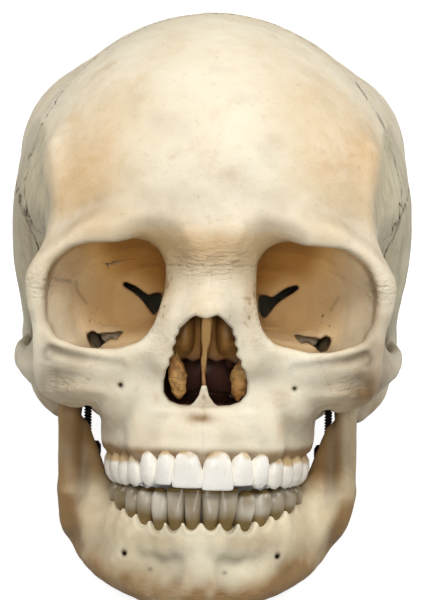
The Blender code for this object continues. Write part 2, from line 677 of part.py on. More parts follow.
def build():
    for thing in list(bpy.data.objects):
        bpy.data.objects.remove(thing)
    whole = new_object("whole", cranium(STEP).skin("cranium"))
    fewer_faces(whole, CRANIUM_FACES)
    bones = split_cranium(whole)
    by_name = {bone.name: bone for bone in bones}
    mandible = new_object("mandible", jaw(STEP).skin("jaw"))
    fewer_faces(mandible, JAW_FACES)
    for side, name in ((1, "maxilla_left"), (-1, "maxilla_right")):
        for points, faces in row_of_teeth(UPPER_TEETH, UPPER_NECKS, 33.0, 46.5, -46.5, -1, 9, side):
            combine(by_name[name], solid("tooth", points, faces), "UNION")
        for points, faces in row_of_teeth(LOWER_TEETH, LOWER_NECKS, 30.5, 43.0, -46.5, 1, 12, side):
            combine(mandible, solid("tooth", points, faces), "UNION")
    things = bones + [mandible] + nose_plates() + jaw_springs(bones, mandible)
    stand_flat(mandible)
    stand_flat(by_name["occipital_bone"])
    rest = rest_frame()
    for thing in things:
        clean(thing)
        finish(thing)
        thing.parent = rest


build()
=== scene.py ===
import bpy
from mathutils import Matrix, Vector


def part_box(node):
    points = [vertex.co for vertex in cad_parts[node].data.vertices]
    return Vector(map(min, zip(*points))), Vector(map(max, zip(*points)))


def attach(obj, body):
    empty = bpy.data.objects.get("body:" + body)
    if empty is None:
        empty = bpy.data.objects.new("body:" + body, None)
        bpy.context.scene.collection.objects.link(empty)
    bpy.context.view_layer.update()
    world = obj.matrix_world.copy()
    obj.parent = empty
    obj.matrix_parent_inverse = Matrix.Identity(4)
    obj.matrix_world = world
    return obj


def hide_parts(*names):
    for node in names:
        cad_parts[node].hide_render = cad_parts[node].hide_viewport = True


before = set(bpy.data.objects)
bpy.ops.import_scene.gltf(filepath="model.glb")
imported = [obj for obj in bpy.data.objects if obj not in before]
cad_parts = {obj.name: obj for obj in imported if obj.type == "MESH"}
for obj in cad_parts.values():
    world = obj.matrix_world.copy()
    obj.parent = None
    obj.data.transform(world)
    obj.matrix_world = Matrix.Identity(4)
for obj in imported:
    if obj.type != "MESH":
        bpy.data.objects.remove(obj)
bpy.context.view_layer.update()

from copy import copy
from math import radians

import bmesh
import bpy
import numpy as np
import openvdb
from mathutils import Matrix, Vector

# Bones are shaped in millimetres, with the ear holes near the origin: X to the skull's left, Y back, Z up.
# The last step leans every piece back onto the floor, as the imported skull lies.

MM = 0.001
# How far the skull leans back, in degrees, and where its origin then is
LEAN = 22.7
REST_PLACE = (0, 3.66, 50.891)
# Steps of the grids on which the bones are shaped
VAULT_STEP = 0.8
FACE_STEP = 0.55
# How far a bone stands back from a seam; a bone with less than nothing reaches past it
FACE_SEAM, VAULT_SEAM = -0.5, -0.02
# Thickness of the vault
WALL = 5.5
# A distance beyond all that is shaped, and how near the surface the seams are cut
FAR = 40.0
BAND = 3.0
# Where the rows of teeth begin to run straight back
ROW_BACK = -46.5
BOTH = ((1, "left"), (-1, "right"))
# Lowest point of a piece, in metres
LOWEST = 0.0001
AT_REST = Matrix.Translation(Vector(REST_PLACE) * MM) @ Matrix.Rotation(radians(-LEAN), 4, "X")


# Shapes, as distances in millimetres


class Shape:
    def __init__(self, low, high, distance):
        self.low = np.array(low, float)
        self.high = np.array(high, float)
        self.distance = distance


def egg(centre, radii, power=2.0, turn=0):
    """A rounded form, squarer with a higher power, turned about Z."""
    centre = np.array(centre, float)
    reach = np.array(radii, float)
    if turn:
        reach[:2] = max(radii[:2])
    c, s = np.cos(radians(turn)), np.sin(radians(turn))

    def distance(x, y, z):
        x, y, z = x - centre[0], y - centre[1], z - centre[2]
        x, y = c * x + s * y, c * y - s * x
        norm = (np.abs(x / radii[0]) ** power + np.abs(y / radii[1]) ** power
                + np.abs(z / radii[2]) ** power) ** (1 / power)
        norm = np.maximum(norm, 1e-3)
        if power != 2.0:
            return np.sqrt(x * x + y * y + z * z) * (1 - 1 / norm)
        slope = np.sqrt((x / radii[0] ** 2) ** 2 + (y / radii[1] ** 2) ** 2 + (z / radii[2] ** 2) ** 2)
        return norm * (norm - 1) / np.maximum(slope, 1e-6)

    return Shape(centre - reach, centre + reach, distance)


def smooth_path(points, each):
    """More points on a smooth curve through the given ones."""
    points = np.array(points, float)
    if len(points) == 2:
        return points
    padded = np.vstack([2 * points[0] - points[1], points, 2 * points[-1] - points[-2]])
    found = []
    for i in range(len(points) - 1):
        p0, p1, p2, p3 = padded[i:i + 4]
        for t in np.arange(each) / each:
            found.append(p1 + ((p2 - p0) * t + (2 * p0 - 5 * p1 + 4 * p2 - p3) * t ** 2
                               + (3 * p1 - p0 - 3 * p2 + p3) * t ** 3) / 2)
    return np.array(found + [points[-1]])


def rod(points, flat=(1, 1, 1), each=5):
    """A round ridge through points given as x, y, z and radius, squeezed along the axes by flat."""
    path = smooth_path(points, each)
    flat = np.array(flat, float)
    reach = path[:, 3:] * flat

    def distance(x, y, z):
        nearest = FAR
        for start, end in zip(path[:-1], path[1:]):
            step = (end[:3] - start[:3]) / flat
            px, py, pz = (x - start[0]) / flat[0], (y - start[1]) / flat[1], (z - start[2]) / flat[2]
            t = np.clip((px * step[0] + py * step[1] + pz * step[2]) / (step @ step), 0, 1)
            away = np.sqrt((px - t * step[0]) ** 2 + (py - t * step[1]) ** 2 + (pz - t * step[2]) ** 2)
            nearest = np.minimum(nearest, away - start[3] - t * (end[3] - start[3]))
        return nearest * flat.min()

    return Shape((path[:, :3] - reach).min(axis=0), (path[:, :3] + reach).max(axis=0), distance)


def outline_distance(outline, a, b):
    """How far a point is outside a closed outline, negative inside."""
    nearest = 1e9
    inside = np.zeros(np.broadcast(a, b).shape, bool)
    for (a0, b0), (a1, b1) in zip(outline, np.roll(outline, -1, axis=0)):
        da, db = a1 - a0, b1 - b0
        t = np.clip(((a - a0) * da + (b - b0) * db) / (da * da + db * db), 0, 1)
        nearest = np.minimum(nearest, (a - a0 - t * da) ** 2 + (b - b0 - t * db) ** 2)
        if b0 != b1:
            inside ^= ((b0 > b) != (b1 > b)) & (a < (b - b0) * da / db + a0)
    return np.where(inside, -1, 1) * np.sqrt(nearest)


def slab(axis, outline, middle, half, rounding, low, high):
    """A plate cut to an outline; middle gives where it lies along the axis, half its half thickness."""
    outline = np.array(outline, float)
    others = [i for i in range(3) if i != axis]

    def distance(x, y, z):
        every = (x, y, z)
        a, b = every[others[0]], every[others[1]]
        side = outline_distance(outline, a, b) + rounding
        face = np.abs(every[axis] - middle(a, b)) - half + rounding
        out = np.sqrt(np.maximum(side, 0) ** 2 + np.maximum(face, 0) ** 2)
        return out + np.minimum(np.maximum(side, face), 0) - rounding

    return Shape(low, high, distance)


def soft_min(a, b, blend):
    if blend == 0:
        return np.minimum(a, b)
    overlap = np.maximum(blend - np.abs(a - b), 0) / blend
    return np.minimum(a, b) - overlap * overlap * blend / 4


def between(rest, corner):
    """Reads a value between the eight grid points round each point, from how far it is past the first."""
    total = 0
    for i, j, k in np.ndindex(2, 2, 2):
        share = ((rest[0] if i else 1 - rest[0]) * (rest[1] if j else 1 - rest[1])
                 * (rest[2] if k else 1 - rest[2]))
        total = total + share * corner(i, j, k)
    return total


class Field:
    """Distances to a bone on a grid. The left half is shaped first, then both halves."""

    def __init__(self, low, high, step):
        self.step = step
        self.axes = [np.arange(a, b + step, step, dtype=np.float32) for a, b in zip(low, high)]
        self.values = np.full([len(axis) for axis in self.axes], FAR, np.float32)

    def window(self, low, high):
        """Which part of the grid lies in a box."""
        return tuple(slice(int(np.searchsorted(axis, a)), int(np.searchsorted(axis, b)))
                     for axis, a, b in zip(self.axes, low, high))

    def near(self, shape, margin):
        part = self.window(shape.low - margin, shape.high + margin)
        x, y, z = np.meshgrid(*(axis[s] for axis, s in zip(self.axes, part)), indexing="ij", sparse=True)
        if x.size == 0 or y.size == 0 or z.size == 0:
            return part, None
        return part, shape.distance(x, y, z).astype(np.float32)

    def add(self, shape, blend=0.0):
        part, distance = self.near(shape, blend + 4)
        if distance is not None:
            self.values[part] = soft_min(self.values[part], distance, blend)

    def cut(self, shape, blend=0.0):
        part, distance = self.near(shape, blend + 4)
        if distance is not None:
            self.values[part] = -soft_min(-self.values[part], distance, blend)

    def mirror(self):
        """The field over both halves."""
        whole = copy(self)
        whole.values = np.concatenate([self.values[:0:-1], self.values])
        whole.axes = [np.concatenate([-self.axes[0][:0:-1], self.axes[0]])] + self.axes[1:]
        return whole

    def part(self, low, high):
        """A copy of the field inside a box."""
        piece = copy(self)
        cut = self.window(low, high)
        piece.values = self.values[cut].copy()
        piece.axes = [axis[s] for axis, s in zip(self.axes, cut)]
        return piece

    def at(self, points):
        """The distance at each point, read between the grid's own."""
        q = [np.clip((points[:, i] - axis[0]) / self.step, 0, len(axis) - 1.001)
             for i, axis in enumerate(self.axes)]
        low = [a.astype(int) for a in q]
        rest = [a - b for a, b in zip(q, low)]
        return between(rest, lambda i, j, k: self.values[low[0] + i, low[1] + j, low[2] + k])

    def skin(self):
        """The points and four-sided faces of the surface, in millimetres."""
        grid = openvdb.FloatGrid(FAR)
        grid.copyFromArray(self.values)
        points, _, quads = grid.convertToPolygons(0.0, 0.0)
        return points * self.step + np.array([axis[0] for axis in self.axes]), quads


# Unevenness, the same in each run

CELLS = 32
LATTICE = np.random.default_rng(11).random((CELLS, CELLS, CELLS)).astype(np.float32)


def noise(points, size):
    """Smooth random values from -1 to 1, with lumps of a size in millimetres, one or one per axis."""
    q = points / np.array(size, np.float32)
    low = np.floor(q).astype(int)
    f = smooth_step(q - low, 0, 1)
    a, b, c = low.T
    share = between(f.T, lambda i, j, k: LATTICE[(a + i) % CELLS, (b + j) % CELLS, (c + k) % CELLS])
    return share * 2 - 1


def spot(points, centre, radii):
    """1 at a place, fading to nothing around it."""
    return np.exp(-(((points - np.array(centre)) / np.array(radii)) ** 2).sum(axis=1))


def spots(points, *places):
    """Spots added up, each given as its strength, place and reach."""
    return sum(strength * spot(points, centre, reach) for strength, centre, reach in places)


def smooth_step(value, start, end):
    t = np.clip((value - start) / (end - start), 0, 1)
    return t * t * (3 - 2 * t)


# The bones of the head


def braincase(inset=0.0):
    def distance(x, y, z):
        y, z = y - 12, z - 44
        lower = z < 0
        back = y > 0
        p = np.where(lower, 2.35, 1.93)
        cross = (np.abs(x / 70.6) ** p + np.abs(z / np.where(lower, 74, 72.5)) ** p) ** (1 / p)
        p = np.where(back, 2.0, 2.25)
        norm = (cross ** p + np.abs(y / np.where(back, 75.5, 102)) ** p) ** (1 / p)
        return np.sqrt(x * x + y * y + z * z) * (1 - 1 / np.maximum(norm, 1e-3)) + inset

    return Shape((0, -90, -30), (71, 88, 117), distance)


def under_brow():
    """Everything below a plane that slopes back and down from the brow."""
    def distance(x, y, z):
        return ((y + 92) * 0.56 + (z - 21)) / 1.146

    return Shape((0, -104, -62), (78, 40, 30), distance)


def face_front(x, z):
    """How far forward the upper jaw and the cheek bones stand."""
    high = np.interp(x, (0, 8, 14, 20, 30, 40, 48, 54, 58, 62),
                     (-88, -86, -83.5, -82.5, -80.5, -77, -72.5, -67, -61, -54))
    low = np.interp(x, (0, 8, 14, 19, 24, 28, 31, 34), (-89.5, -88, -85, -81, -74, -66, -58, -46))
    weight = smooth_step(z, -27, -14)
    hollow = 4.5 * np.exp(-((x - 25) / 7.5) ** 2 - ((z + 14) / 6.5) ** 2)
    return low + (high - low) * weight + hollow


FACE = ((0, 8), (5, 30), (14, 30), (16, 2), (45, -4), (50.5, 2), (52, 14), (52.5, 22), (56.5, 21),
        (57.2, 12), (57.2, 4), (58, -2), (58.5, -7), (57.3, -11.5), (54, -15.5), (49, -18.8), (43, -20),
        (37.5, -19.5), (35, -23), (34, -34), (0, -34))
NOSE = ((0, 9.6), (1.5, 10.0), (3.4, 10.6), (5.3, 9.3), (8.2, 6.3), (9.5, 2.4), (10.2, -2), (12.0, -5.8),
        (13.2, -10.6), (13.0, -14.4), (11.2, -16.9), (8, -18.1), (0, -18.3))
UPPER_FISSURE = ((29.4, 20.1), (28.5, 20.8), (24.4, 19.2), (20.7, 16.6), (18.6, 17.6), (16.3, 17.2),
                 (16.2, 15.5), (16.7, 12.1), (18.3, 9.6), (19.5, 10.5), (22.4, 14.5), (25.6, 17.3),
                 (28.8, 19.3))
LOWER_FISSURE = ((40.1, 3.4), (38.3, 4.2), (36.7, 3.3), (28.4, 4.2), (30.3, 1.4), (32.3, 1.9), (34.3, 0.6),
                 (36.7, -1.4), (38.7, -0.8), (39.9, 1.6))
SPINE = ((-4.4, -19.5), (4.4, -19.5), (3.4, -17.6), (1.6, -15), (0.7, -11.8), (-0.7, -11.8), (-1.6, -15),
         (-3.4, -17.6))


def nose_opening():
    """The pear-shaped opening, with a ragged thin edge."""
    outline = mirrored_outline(NOSE)

    def distance(x, y, z):
        ragged = 0.35 * np.sin(z * 1.7 + 2 * np.sin(x * 0.4)) * smooth_step(x, 7, 10) * smooth_step(z, -9, -5)
        return np.maximum(outline_distance(outline, x, z) + ragged, np.abs(y + 75) - 30)

    return Shape((0, -105, -19), (14, -45, 13), distance)


def orbit_socket():
    depths = (-104, -87, -80, -70, -60, -50, -42, -38)
    inner = (16.5, 15.8, 14.0, 13.0, 12.4, 12.0, 12.2, 14)
    outer = (56, 55, 54, 52.6, 44.5, 32.0, 18.0, 14.5)
    top = (31.5, 31.5, 34.0, 34.5, 31.5, 25.5, 18.5, 15)
    bottom = (-1.5, -1.5, -2.5, -2.5, 0.5, 5.5, 10.5, 14)

    def distance(x, y, z):
        x0, x1 = np.interp(y, depths, inner), np.interp(y, depths, outer)
        z0, z1 = np.interp(y, depths, bottom), np.interp(y, depths, top)
        u = x - (x0 + x1) / 2
        v = z - (z0 + z1) / 2 + 0.16 * u
        wide, tall = (x1 - x0) / 2, (z1 - z0) / 2
        norm = (np.abs(u / wide) ** 2.7 + np.abs(v / tall) ** 2.7) ** (1 / 2.7)
        return (norm - 1) * np.minimum(wide, tall) * 0.8

    return Shape((8, -104, -8), (60, -38, 40), distance)


def mirrored_outline(points):
    return points + tuple((-a, b) for a, b in reversed(points) if a > 0)


def arch(wide, long, back, height, rise, radius, spread=0.0):
    """The points of half a row of teeth."""
    points = []
    for angle in np.radians(np.linspace(-2, 96, 9)):
        far = 1 - np.cos(angle)
        points.append((wide * np.sin(angle) + spread * far, back - long * np.cos(angle),
                       height + rise * far, radius))
    return points


def cranium(low, high, step):
    field = Field(low, high, step)
    field.add(braincase())
    # Back of the head
    field.add(egg((0, 62, 20), (44, 25, 32)), 20)
    field.add(egg((46, 24, 74), (19, 32, 19)), 16)
    field.cut(under_brow(), 12)
    field.add(egg((22, 46, -12), (27, 26, 21)), 20)
    field.add(egg((43, 8, 2), (18, 26, 18)), 14)
    field.add(egg((0, 52, -9), (13, 22, 18)), 16)
    # Temple hollow
    field.cut(egg((86, -50, 8), (43, 30, 38)), 9)
    # Brow, and the ridge that runs up from it
    field.add(rod(((0, -86.3, 34, 5.2), (12, -87, 35, 5.8), (24, -84.5, 37, 5.2), (38, -79.5, 35, 4.6),
                   (48, -74.5, 28.5, 4.2), (54, -70.5, 20, 3.8), (54.5, -70, 14, 3.6))), 9)
    field.add(rod(((53, -69, 22, 3), (49.6, -66, 31, 2.4), (46.5, -65, 42, 1.6), (47, -64, 52, 1.2),
                   (50, -56, 64, 0.8))), 12)
    # Upper jaw and cheek, one curved plate
    field.add(slab(1, FACE, lambda x, z: face_front(x, z) + 4.2, 4.2, 3.0, (0, -92, -34), (59, -45, 30)), 5)
    # Wall beside the orbit
    field.add(egg((45.2, -59.5, 7), (4.2, 17, 25), 2.4, turn=41), 7)
    field.add(egg((34, -46, 4), (11, 12, 20), 2.4), 8)
    # Upper jaw behind the plate
    field.add(egg((20, -64, -11), (16.5, 19, 16), 2.8), 6)
    field.add(egg((22, -56, -24), (11.5, 14, 12), 2.6), 5)
    # Bridge of the nose
    field.add(rod(((0, -82.5, 28, 5), (0, -86.5, 18, 5.6), (0, -91, 11, 6.4))), 6)
    field.add(rod(((6, -84, 26, 4), (7.5, -85.5, 16, 4.6), (9.5, -86.5, 6, 5), (12, -84.5, -2, 5))), 7)
    # Lower rim of the orbit
    field.add(rod(((49, -72, -3.5, 4.2), (40, -76.5, -4.6, 3.6), (29, -79.5, -4.4, 3.4), (20, -82, -1.5, 3.2),
                   (14.5, -83, 5, 3), (12.5, -83.5, 13, 3))), 5)
    # Bone round the upper teeth, and the palate
    field.add(rod(arch(28.8, 39.4, -46, -27.5, 0, 5.8), (1, 1, 1.2), 3), 5)
    field.add(rod(arch(30.4, 39.0, -46, -31.0, 0, 3.8)[3:], (1, 1, 1.2), 3), 3)
    field.add(rod(((16, -80, -16, 4), (18.5, -80.5, -25, 4.6), (19.5, -79.5, -31, 4.4))), 5)
    field.add(egg((0, -62, -20.5), (27, 25, 3.6), 2.6), 3)
    # Cheek arch
    field.add(rod(((53, -67, -7.5, 5.8), (57.5, -58.5, -7, 5.4), (61, -49, -6, 5), (63.4, -38, -4.5, 4.6),
                   (63.8, -25, -3.5, 4.6), (62.5, -12, -2, 4.6), (59, 0, 0, 5)), (0.45, 1, 1)), 4)
    field.add(rod(((59, -10, 0, 3), (61.5, 4, 1.5, 3.4), (60, 20, 2, 3), (57, 34, 6, 1.5))), 6)
    # Orbit and nose
    field.cut(orbit_socket(), 1.8)
    field.cut(nose_opening(), 0.8)
    field.cut(egg((7, -66, -7), (7.6, 17, 11), 2.4), 1.5)
    # Thin plates high in the nose, and the spine at its foot
    field.add(egg((6.6, -62, 5), (3.6, 13, 8.5), 2.4), 2)
    field.add(slab(1, ((0.8, -3.5), (4, -5), (7, -3), (10.5, -6), (13, -4), (12, 14), (0.8, 14)),
                   lambda x, z: -66.5 - 0.25 * x, 1.0, 0.4, (0, -72, -7), (13, -62, 14)), 1.0)
    field.add(rod(((9.5, -72, 2, 1.2), (8.5, -66, -4, 1.6), (8.0, -60, -6, 1.6))), 2)
    field.add(slab(1, SPINE, lambda x, z: -83 - 0.25 * (z + 19), 3.4, 0.5, (0, -92, -20), (5, -76, -11)), 1.5)
    field.cut(egg((0, -88.5, -16), (0.9, 2, 1.7)), 0.6)
    # Lump behind the ear, ear hole and the hollow for the jaw
    field.add(rod(((55, 22, -2, 12), (54.5, 17, -14, 10), (52, 12.5, -22, 6))), 7)
    field.add(rod(((60, 1, -9, 3), (52, 0.5, -11, 2.8), (42, -1.5, -12, 2.8))), 4)
    field.cut(rod(((74, 2, -2.5, 4.6), (50, 2, -2.5, 3.2))), 2)
    field.cut(egg((50, -11, -3.5), (11.3, 7.6, 6)), 2)
    field.cut(egg((50, -11.5, -12), (12, 7.6, 9)), 2)
    # Room for the jaw's front prong
    field.cut(egg((50, -35, -9), (9, 11, 16)), 3)
    # Hole under the head, with the two lumps beside it
    field.cut(egg((0, 17, -30), (14.5, 17.5, 26)), 2.5)
    field.add(rod(((17, 6, -25, 4), (14, 13, -27, 4))), 4)
    # Middle of the base and its wings
    field.add(egg((0, -26, -8), (15, 26, 12)), 8)
    field.add(rod(((12, -42, -6, 3.4), (12.5, -41, -18, 2.4), (11, -40, -29, 1.6)), (1, 1.4, 1)), 3)
    field.add(rod(((17, -39, -6, 3.4), (20, -36, -17, 2), (22, -34, -27, 1.5)), (1, 1.4, 1)), 3)
    surface_details(field)
    # Room for the brain, and the way down out of it
    part, inner = field.near(braincase(WALL + 0.5), 0)
    if inner is not None:
        room = np.maximum(inner, field.values[part] + WALL)
        field.values[part] = -soft_min(-field.values[part], room, 2)
    field.cut(rod(((0, 17, -34, 12), (0, 15, 12, 10))), 3)
    field.cut(slab(1, UPPER_FISSURE, lambda x, z: -38, 16, 0.2, (15, -54, 8), (31, -22, 22)), 0.6)
    field.cut(slab(1, LOWER_FISSURE, lambda x, z: -59, 9, 0.2, (27, -68, -2), (41, -50, 5)), 0.6)
    return field


def surface_details(field):
    # Crest of the lower rim, with a groove under it
    field.add(rod(((53.5, -69.5, 6, 1.4), (50.5, -72.5, 1.5, 1.7), (44, -76.8, -1.2, 1.7),
                   (37, -79.5, -2.4, 1.6), (29, -81.8, -2.4, 1.5), (20, -84, -0.5, 1.4))), 2)
    field.cut(rod(((51, -74.5, -2.8, 1.2), (44, -79.5, -5.0, 1.9), (36, -82.6, -6.2, 1.8),
                   (28, -85, -6.6, 1.0))), 3)
    # The inner upper corner of the orbit is rounded off
    field.cut(egg((19, -97.5, 29), (9.5, 13, 10)), 7)
    # Roots of the upper teeth show as ridges in the bone
    widths = (4.0, 3.2, 4.8, 3.4, 3.2, 3.6, 3.4)
    heights = (-24, -24, -19, -23, -25, -26, -27)
    for (x, y), width, high in zip(UPPER_PLACES, widths, heights):
        field.add(rod(((x * 0.90, y * 0.975, high, 1.0), (x * 0.95, y * 0.99, (high - 30) / 2, width * 0.45),
                       (x * 0.97, y * 0.99, -30.5, width * 0.52))), 2.6)
    # Edge of the bone round the teeth, and the points between them
    for (x, y), (x2, y2) in zip(UPPER_PLACES[:-1], UPPER_PLACES[1:]):
        a, b = (x + x2) / 2, (y + y2) / 2
        field.add(rod(((a * 0.96, b * 0.98, -28, 2.4), (a * 0.985, b * 0.99, -33, 2.1),
                       (a * 0.985, b * 0.993, -36.8, 0.8))), 1.0)
    field.add(rod(((0, -87, -27, 2.4), (0, -89.5, -33, 2.0), (0, -90, -36.6, 0.7))), 1.0)
    front = [(0, UPPER_PLACES[0][1])] + UPPER_PLACES[:4]
    field.add(rod([(x, y * 1.003, -31.2, 2.3) for x, y in front]), 2.0)
    # Groove for the tear sac inside the inner rim
    field.cut(rod(((13.6, -81.5, 15, 1.3), (14.2, -81, 7, 1.9), (16, -80, 1.0, 2.2))), 1.2)
    # Small holes for nerves
    field.cut(rod(((27.2, -88, -13.5, 0.5), (27.8, -77, -11.5, 0.4))), 1.6)
    field.cut(rod(((24.5, -92, 31.2, 1.0), (24.8, -82, 32.8, 0.8))), 1.5)


BRANCH = ((-7, -12), (-6, -20), (-8.5, -34), (-11, -46), (-14.5, -55), (-22, -60.5), (-32, -64), (-42, -62),
          (-46, -50), (-43.5, -38), (-41.5, -24), (-41, -12), (-38.5, -4.5), (-35.5, -3.5), (-32, -9),
          (-26, -15), (-19, -15.5), (-13.5, -11))


def branch_middle(y, z):
    lower = np.maximum(-48 - z, 0)
    return 47.0 + 0.02 * (z + 36) + 0.03 * (y + 26) - 0.03 * lower ** 1.6


def outwards(x, y, scale):
    """A place moved out from the middle of the rows of teeth."""
    return x * scale, (y - ROW_BACK) * scale + ROW_BACK


def jaw(step):
    field = Field((0, -100, -92), (64, 6, 8), step)
    field.add(rod(((0, -79.5, -68.5, 5.4), (10, -78.5, -68.5, 5.4), (19, -72.5, -67, 5.4),
                   (27, -60, -64.5, 5.3), (33.5, -47, -60.5, 5.2), (38.5, -36, -57, 4.8),
                   (43, -27, -53, 4.2)), (1, 1, 1.8)))
    # Lower edge
    field.add(rod(((0, -77.5, -75.2, 5.8), (10, -76.8, -75.2, 5.8), (20, -71.5, -74.5, 5.8),
                   (29.5, -59, -72, 5.4), (35.5, -47, -68.7, 5), (39.5, -35, -65, 4.6), (43, -25, -60.5, 4.2),
                   (45.5, -17, -55, 3.8))), 5)
    # Bone round the lower teeth, and the ridge from it to the branch
    field.add(rod(arch(26.5, 37.4, -46, -65.5, 9.5, 5, 2) + [(34.5, -38, -54.5, 5)], (1, 1, 1.2), 3), 6)
    field.add(rod(((35, -50, -60, 4.5), (40, -42, -56, 4.5), (44.5, -35, -49, 4))), 7)
    # Chin
    field.add(rod(((0, -80.5, -69, 3.0), (0, -80.5, -76, 4.2))), 11)
    field.add(rod(((0, -79.5, -76.5, 5), (9, -79, -77, 4.2), (15, -77, -76.5, 3))), 6)
    field.add(rod(((33, -46, -53, 4.2), (36.3, -42, -46, 3.7), (39, -38, -38.5, 3.2),
                   (42.3, -35.5, -29, 2.6))), 5)
    # Branch and the knuckle on it
    field.add(slab(0, BRANCH, branch_middle, 3.5, 3.0, (35, -46, -64), (52, -6, -3)), 5)
    field.add(rod(((48.5, -12.5, -22, 3.2), (49.5, -11, -12, 3.4), (50, -10.8, -7, 3.4))), 4)
    field.add(egg((50, -10.8, -2.4), (9.5, 4.2, 4)), 3)
    # Roots of the lower teeth show as ridges
    for (x, y), width in zip(LOWER_PLACES, (2.6, 2.8, 3.8, 3.2, 3.2, 3.4, 3.2, 3.0)):
        high = np.interp(x, (0, 10, 20, 27), (-60, -60, -59, -57))
        field.add(rod(((x * 0.84, y * 0.90, high - 9, 0.8), (x * 0.92, y * 0.965, high - 3.5, width * 0.28),
                       (x * 0.965, y * 0.99, high + 2.0, width * 0.5))), 3.0)
    # Hollows beside the chin, which the ridges run out into
    field.cut(egg((18.5, -88.4, -66), (10, 5.0, 5.5)), 9)
    # Thin edge of the bone round the teeth, in points between them
    for (x, y), (x2, y2), size in zip([(0, LOWER_PLACES[0][1])] + LOWER_PLACES, LOWER_PLACES, LOWER_TEETH):
        a, b = ((x + x2) / 2, (y + y2) / 2) if x else (0, y)
        peak = np.interp(a, (0, 12, 20, 28), (-55.3, -55.5, -54.2, -51.2)) + 0.5 * np.sin(2.3 * a)
        dip = peak - np.interp(a, (0, 7, 14, 20, 28), (2.9, 4.0, 3.5, 2.3, 1.8))
        out = 1 + size[1] * 0.42 / np.hypot(x2, y2 - ROW_BACK)
        top, foot = outwards(a, b, out * 0.965), outwards(a, b, out * 0.88)
        field.add(rod(((*foot, peak - 9, 1.4), (*top, peak - 3, 1.5), (*top, peak - 0.2, 0.6))), 1.2)
        lip = [(x2 + (a - x2) * t, y2 + (b - y2) * t, dip + (peak - dip) * abs(t) ** 2.3)
               for t in (1, 0.8, 0.5, 0, -0.5, -0.8, -1)]
        ledge = [(*outwards(u, v, out * 0.955), dip - 2.5, 2.2) for u, v, w in lip[::3]]
        field.add(rod(ledge, (1, 1, 1.3), 2), 3.0)
        field.add(rod([(*outwards(u, v, out), w, 0.45) for u, v, w in lip], (1, 1, 1), 2), 1.0)
    # Nerve hole beside the chin
    field.cut(rod(((24.4, -76, -66.2, 0.62), (24.0, -66, -67.5, 0.5))), 1.6)
    field.add(rod(((27.5, -69.5, -69.5, 0.8), (24, -72.5, -71.5, 0.8))), 2.5)
    return field


# Teeth: width along the row, thickness, crown height and kind, from the middle to the back

UPPER_TEETH = ((10.5, 7.0, 11.5, "blade"), (7.5, 6.4, 10.6, "blade"), (7.2, 8.2, 11.2, "point"),
               (7.0, 9.0, 10.4, "block"), (6.8, 9.0, 10.0, "block"), (10.2, 11.0, 9.8, "molar"),
               (9.6, 11.0, 9.6, "molar"), (8.4, 10.4, 8.8, "molar"))
UPPER_NECKS = (-32.4, -32.9, -32.6, -34.2, -34.8, -35.2, -35.6, -35.6)
UPPER_ROW = (34.2, 46.5, ROW_BACK)
LOWER_TEETH = ((6.1, 6.0, 10.9, "peg"), (6.6, 6.2, 10.7, "peg"), (7.0, 7.6, 10.8, "point"),
               (7.2, 8.0, 9.4, "block"), (7.4, 8.4, 8.6, "block"), (11.4, 10.4, 7.6, "molar"),
               (10.8, 10.2, 7.2, "molar"), (8.6, 9.8, 6.8, "molar"))
LOWER_NECKS = (-55.2, -55.0, -55.6, -54.2, -53.6, -52.6, -52.2, -51.8)
LOWER_ROW = (32.4, 42.6, ROW_BACK)


def row_places(sizes, row):
    """Where each tooth stands, from the middle back, and which way it faces."""
    wide, long, back = row
    angle = np.linspace(0, np.pi / 2, 400)
    curve = np.stack([wide * np.sin(angle), back - long * np.cos(angle)], axis=1)
    curve = np.vstack([curve, [(wide - 0.1 * d, back + d) for d in range(1, 12)]])
    gone = np.concatenate([[0], np.cumsum(np.linalg.norm(np.diff(curve, axis=0), axis=1))])
    at = 0.1
    for size in sizes:
        here = at + size[0] / 2
        at += size[0]
        place = np.array([np.interp(here, gone, curve[:, i]) for i in (0, 1)])
        on = np.array([np.interp(here + 0.5, gone, curve[:, i]) for i in (0, 1)]) - place
        out = np.array((on[1], -on[0])) / np.hypot(*on)
        yield place, out


UPPER_PLACES = [tuple(place - out * size[1] * 0.5)
                for (place, out), size in zip(row_places(UPPER_TEETH, UPPER_ROW), UPPER_TEETH)]
LOWER_PLACES = [tuple(place - out * size[1] * 0.5)
                for (place, out), size in zip(row_places(LOWER_TEETH, LOWER_ROW), LOWER_TEETH)]

# Where the bones meet: outlines in Y and Z, X and Y, or X and Z, anticlockwise

FRONTAL = ((-120, 26), (-80, 26), (-72, 18.5), (-66, 19), (-42, 38), (-20, 116), (-14, 140), (-120, 140))
PARIETAL = ((-50, 36), (-30, 50), (-14, 54.5), (3, 54), (20, 46), (33, 30), (42, 14), (76, 78), (110, 142),
            (-70, 142), (-70, 60))
OCCIPITAL = ((-12, -8), (12, -8), (22, 4), (35, 22), (60, 44), (90, 60), (90, 110), (-90, 110), (-90, 60),
             (-60, 44), (-35, 22), (-22, 4))
TEMPORAL = ((22, -38), (90, -38), (90, 110), (22, 110))
SPHENOID = ((-33, -45), (33, -45), (41, -60), (52, -52), (54, -30), (54, 30), (-54, 30), (-54, -30),
            (-52, -52), (-41, -60))
CHEEK = ((42.5, -21), (51, -40), (80, -40), (80, 30), (34, 30), (35, -3))
NASAL = ((-7.6, 8), (7.6, 8), (5.2, 30), (-5.2, 30))


def wiggle(along, across, size, height):
    """The meander of a seam between two bones."""
    turn = 2 * np.pi / size
    return height * (np.sin(along * turn + 1.4 * np.sin(along * turn / 3.1 + across * 0.12))
                     + 0.55 * np.sin(along * turn * 2.3 + 1.1 + 0.9 * np.sin(along * turn / 2)))


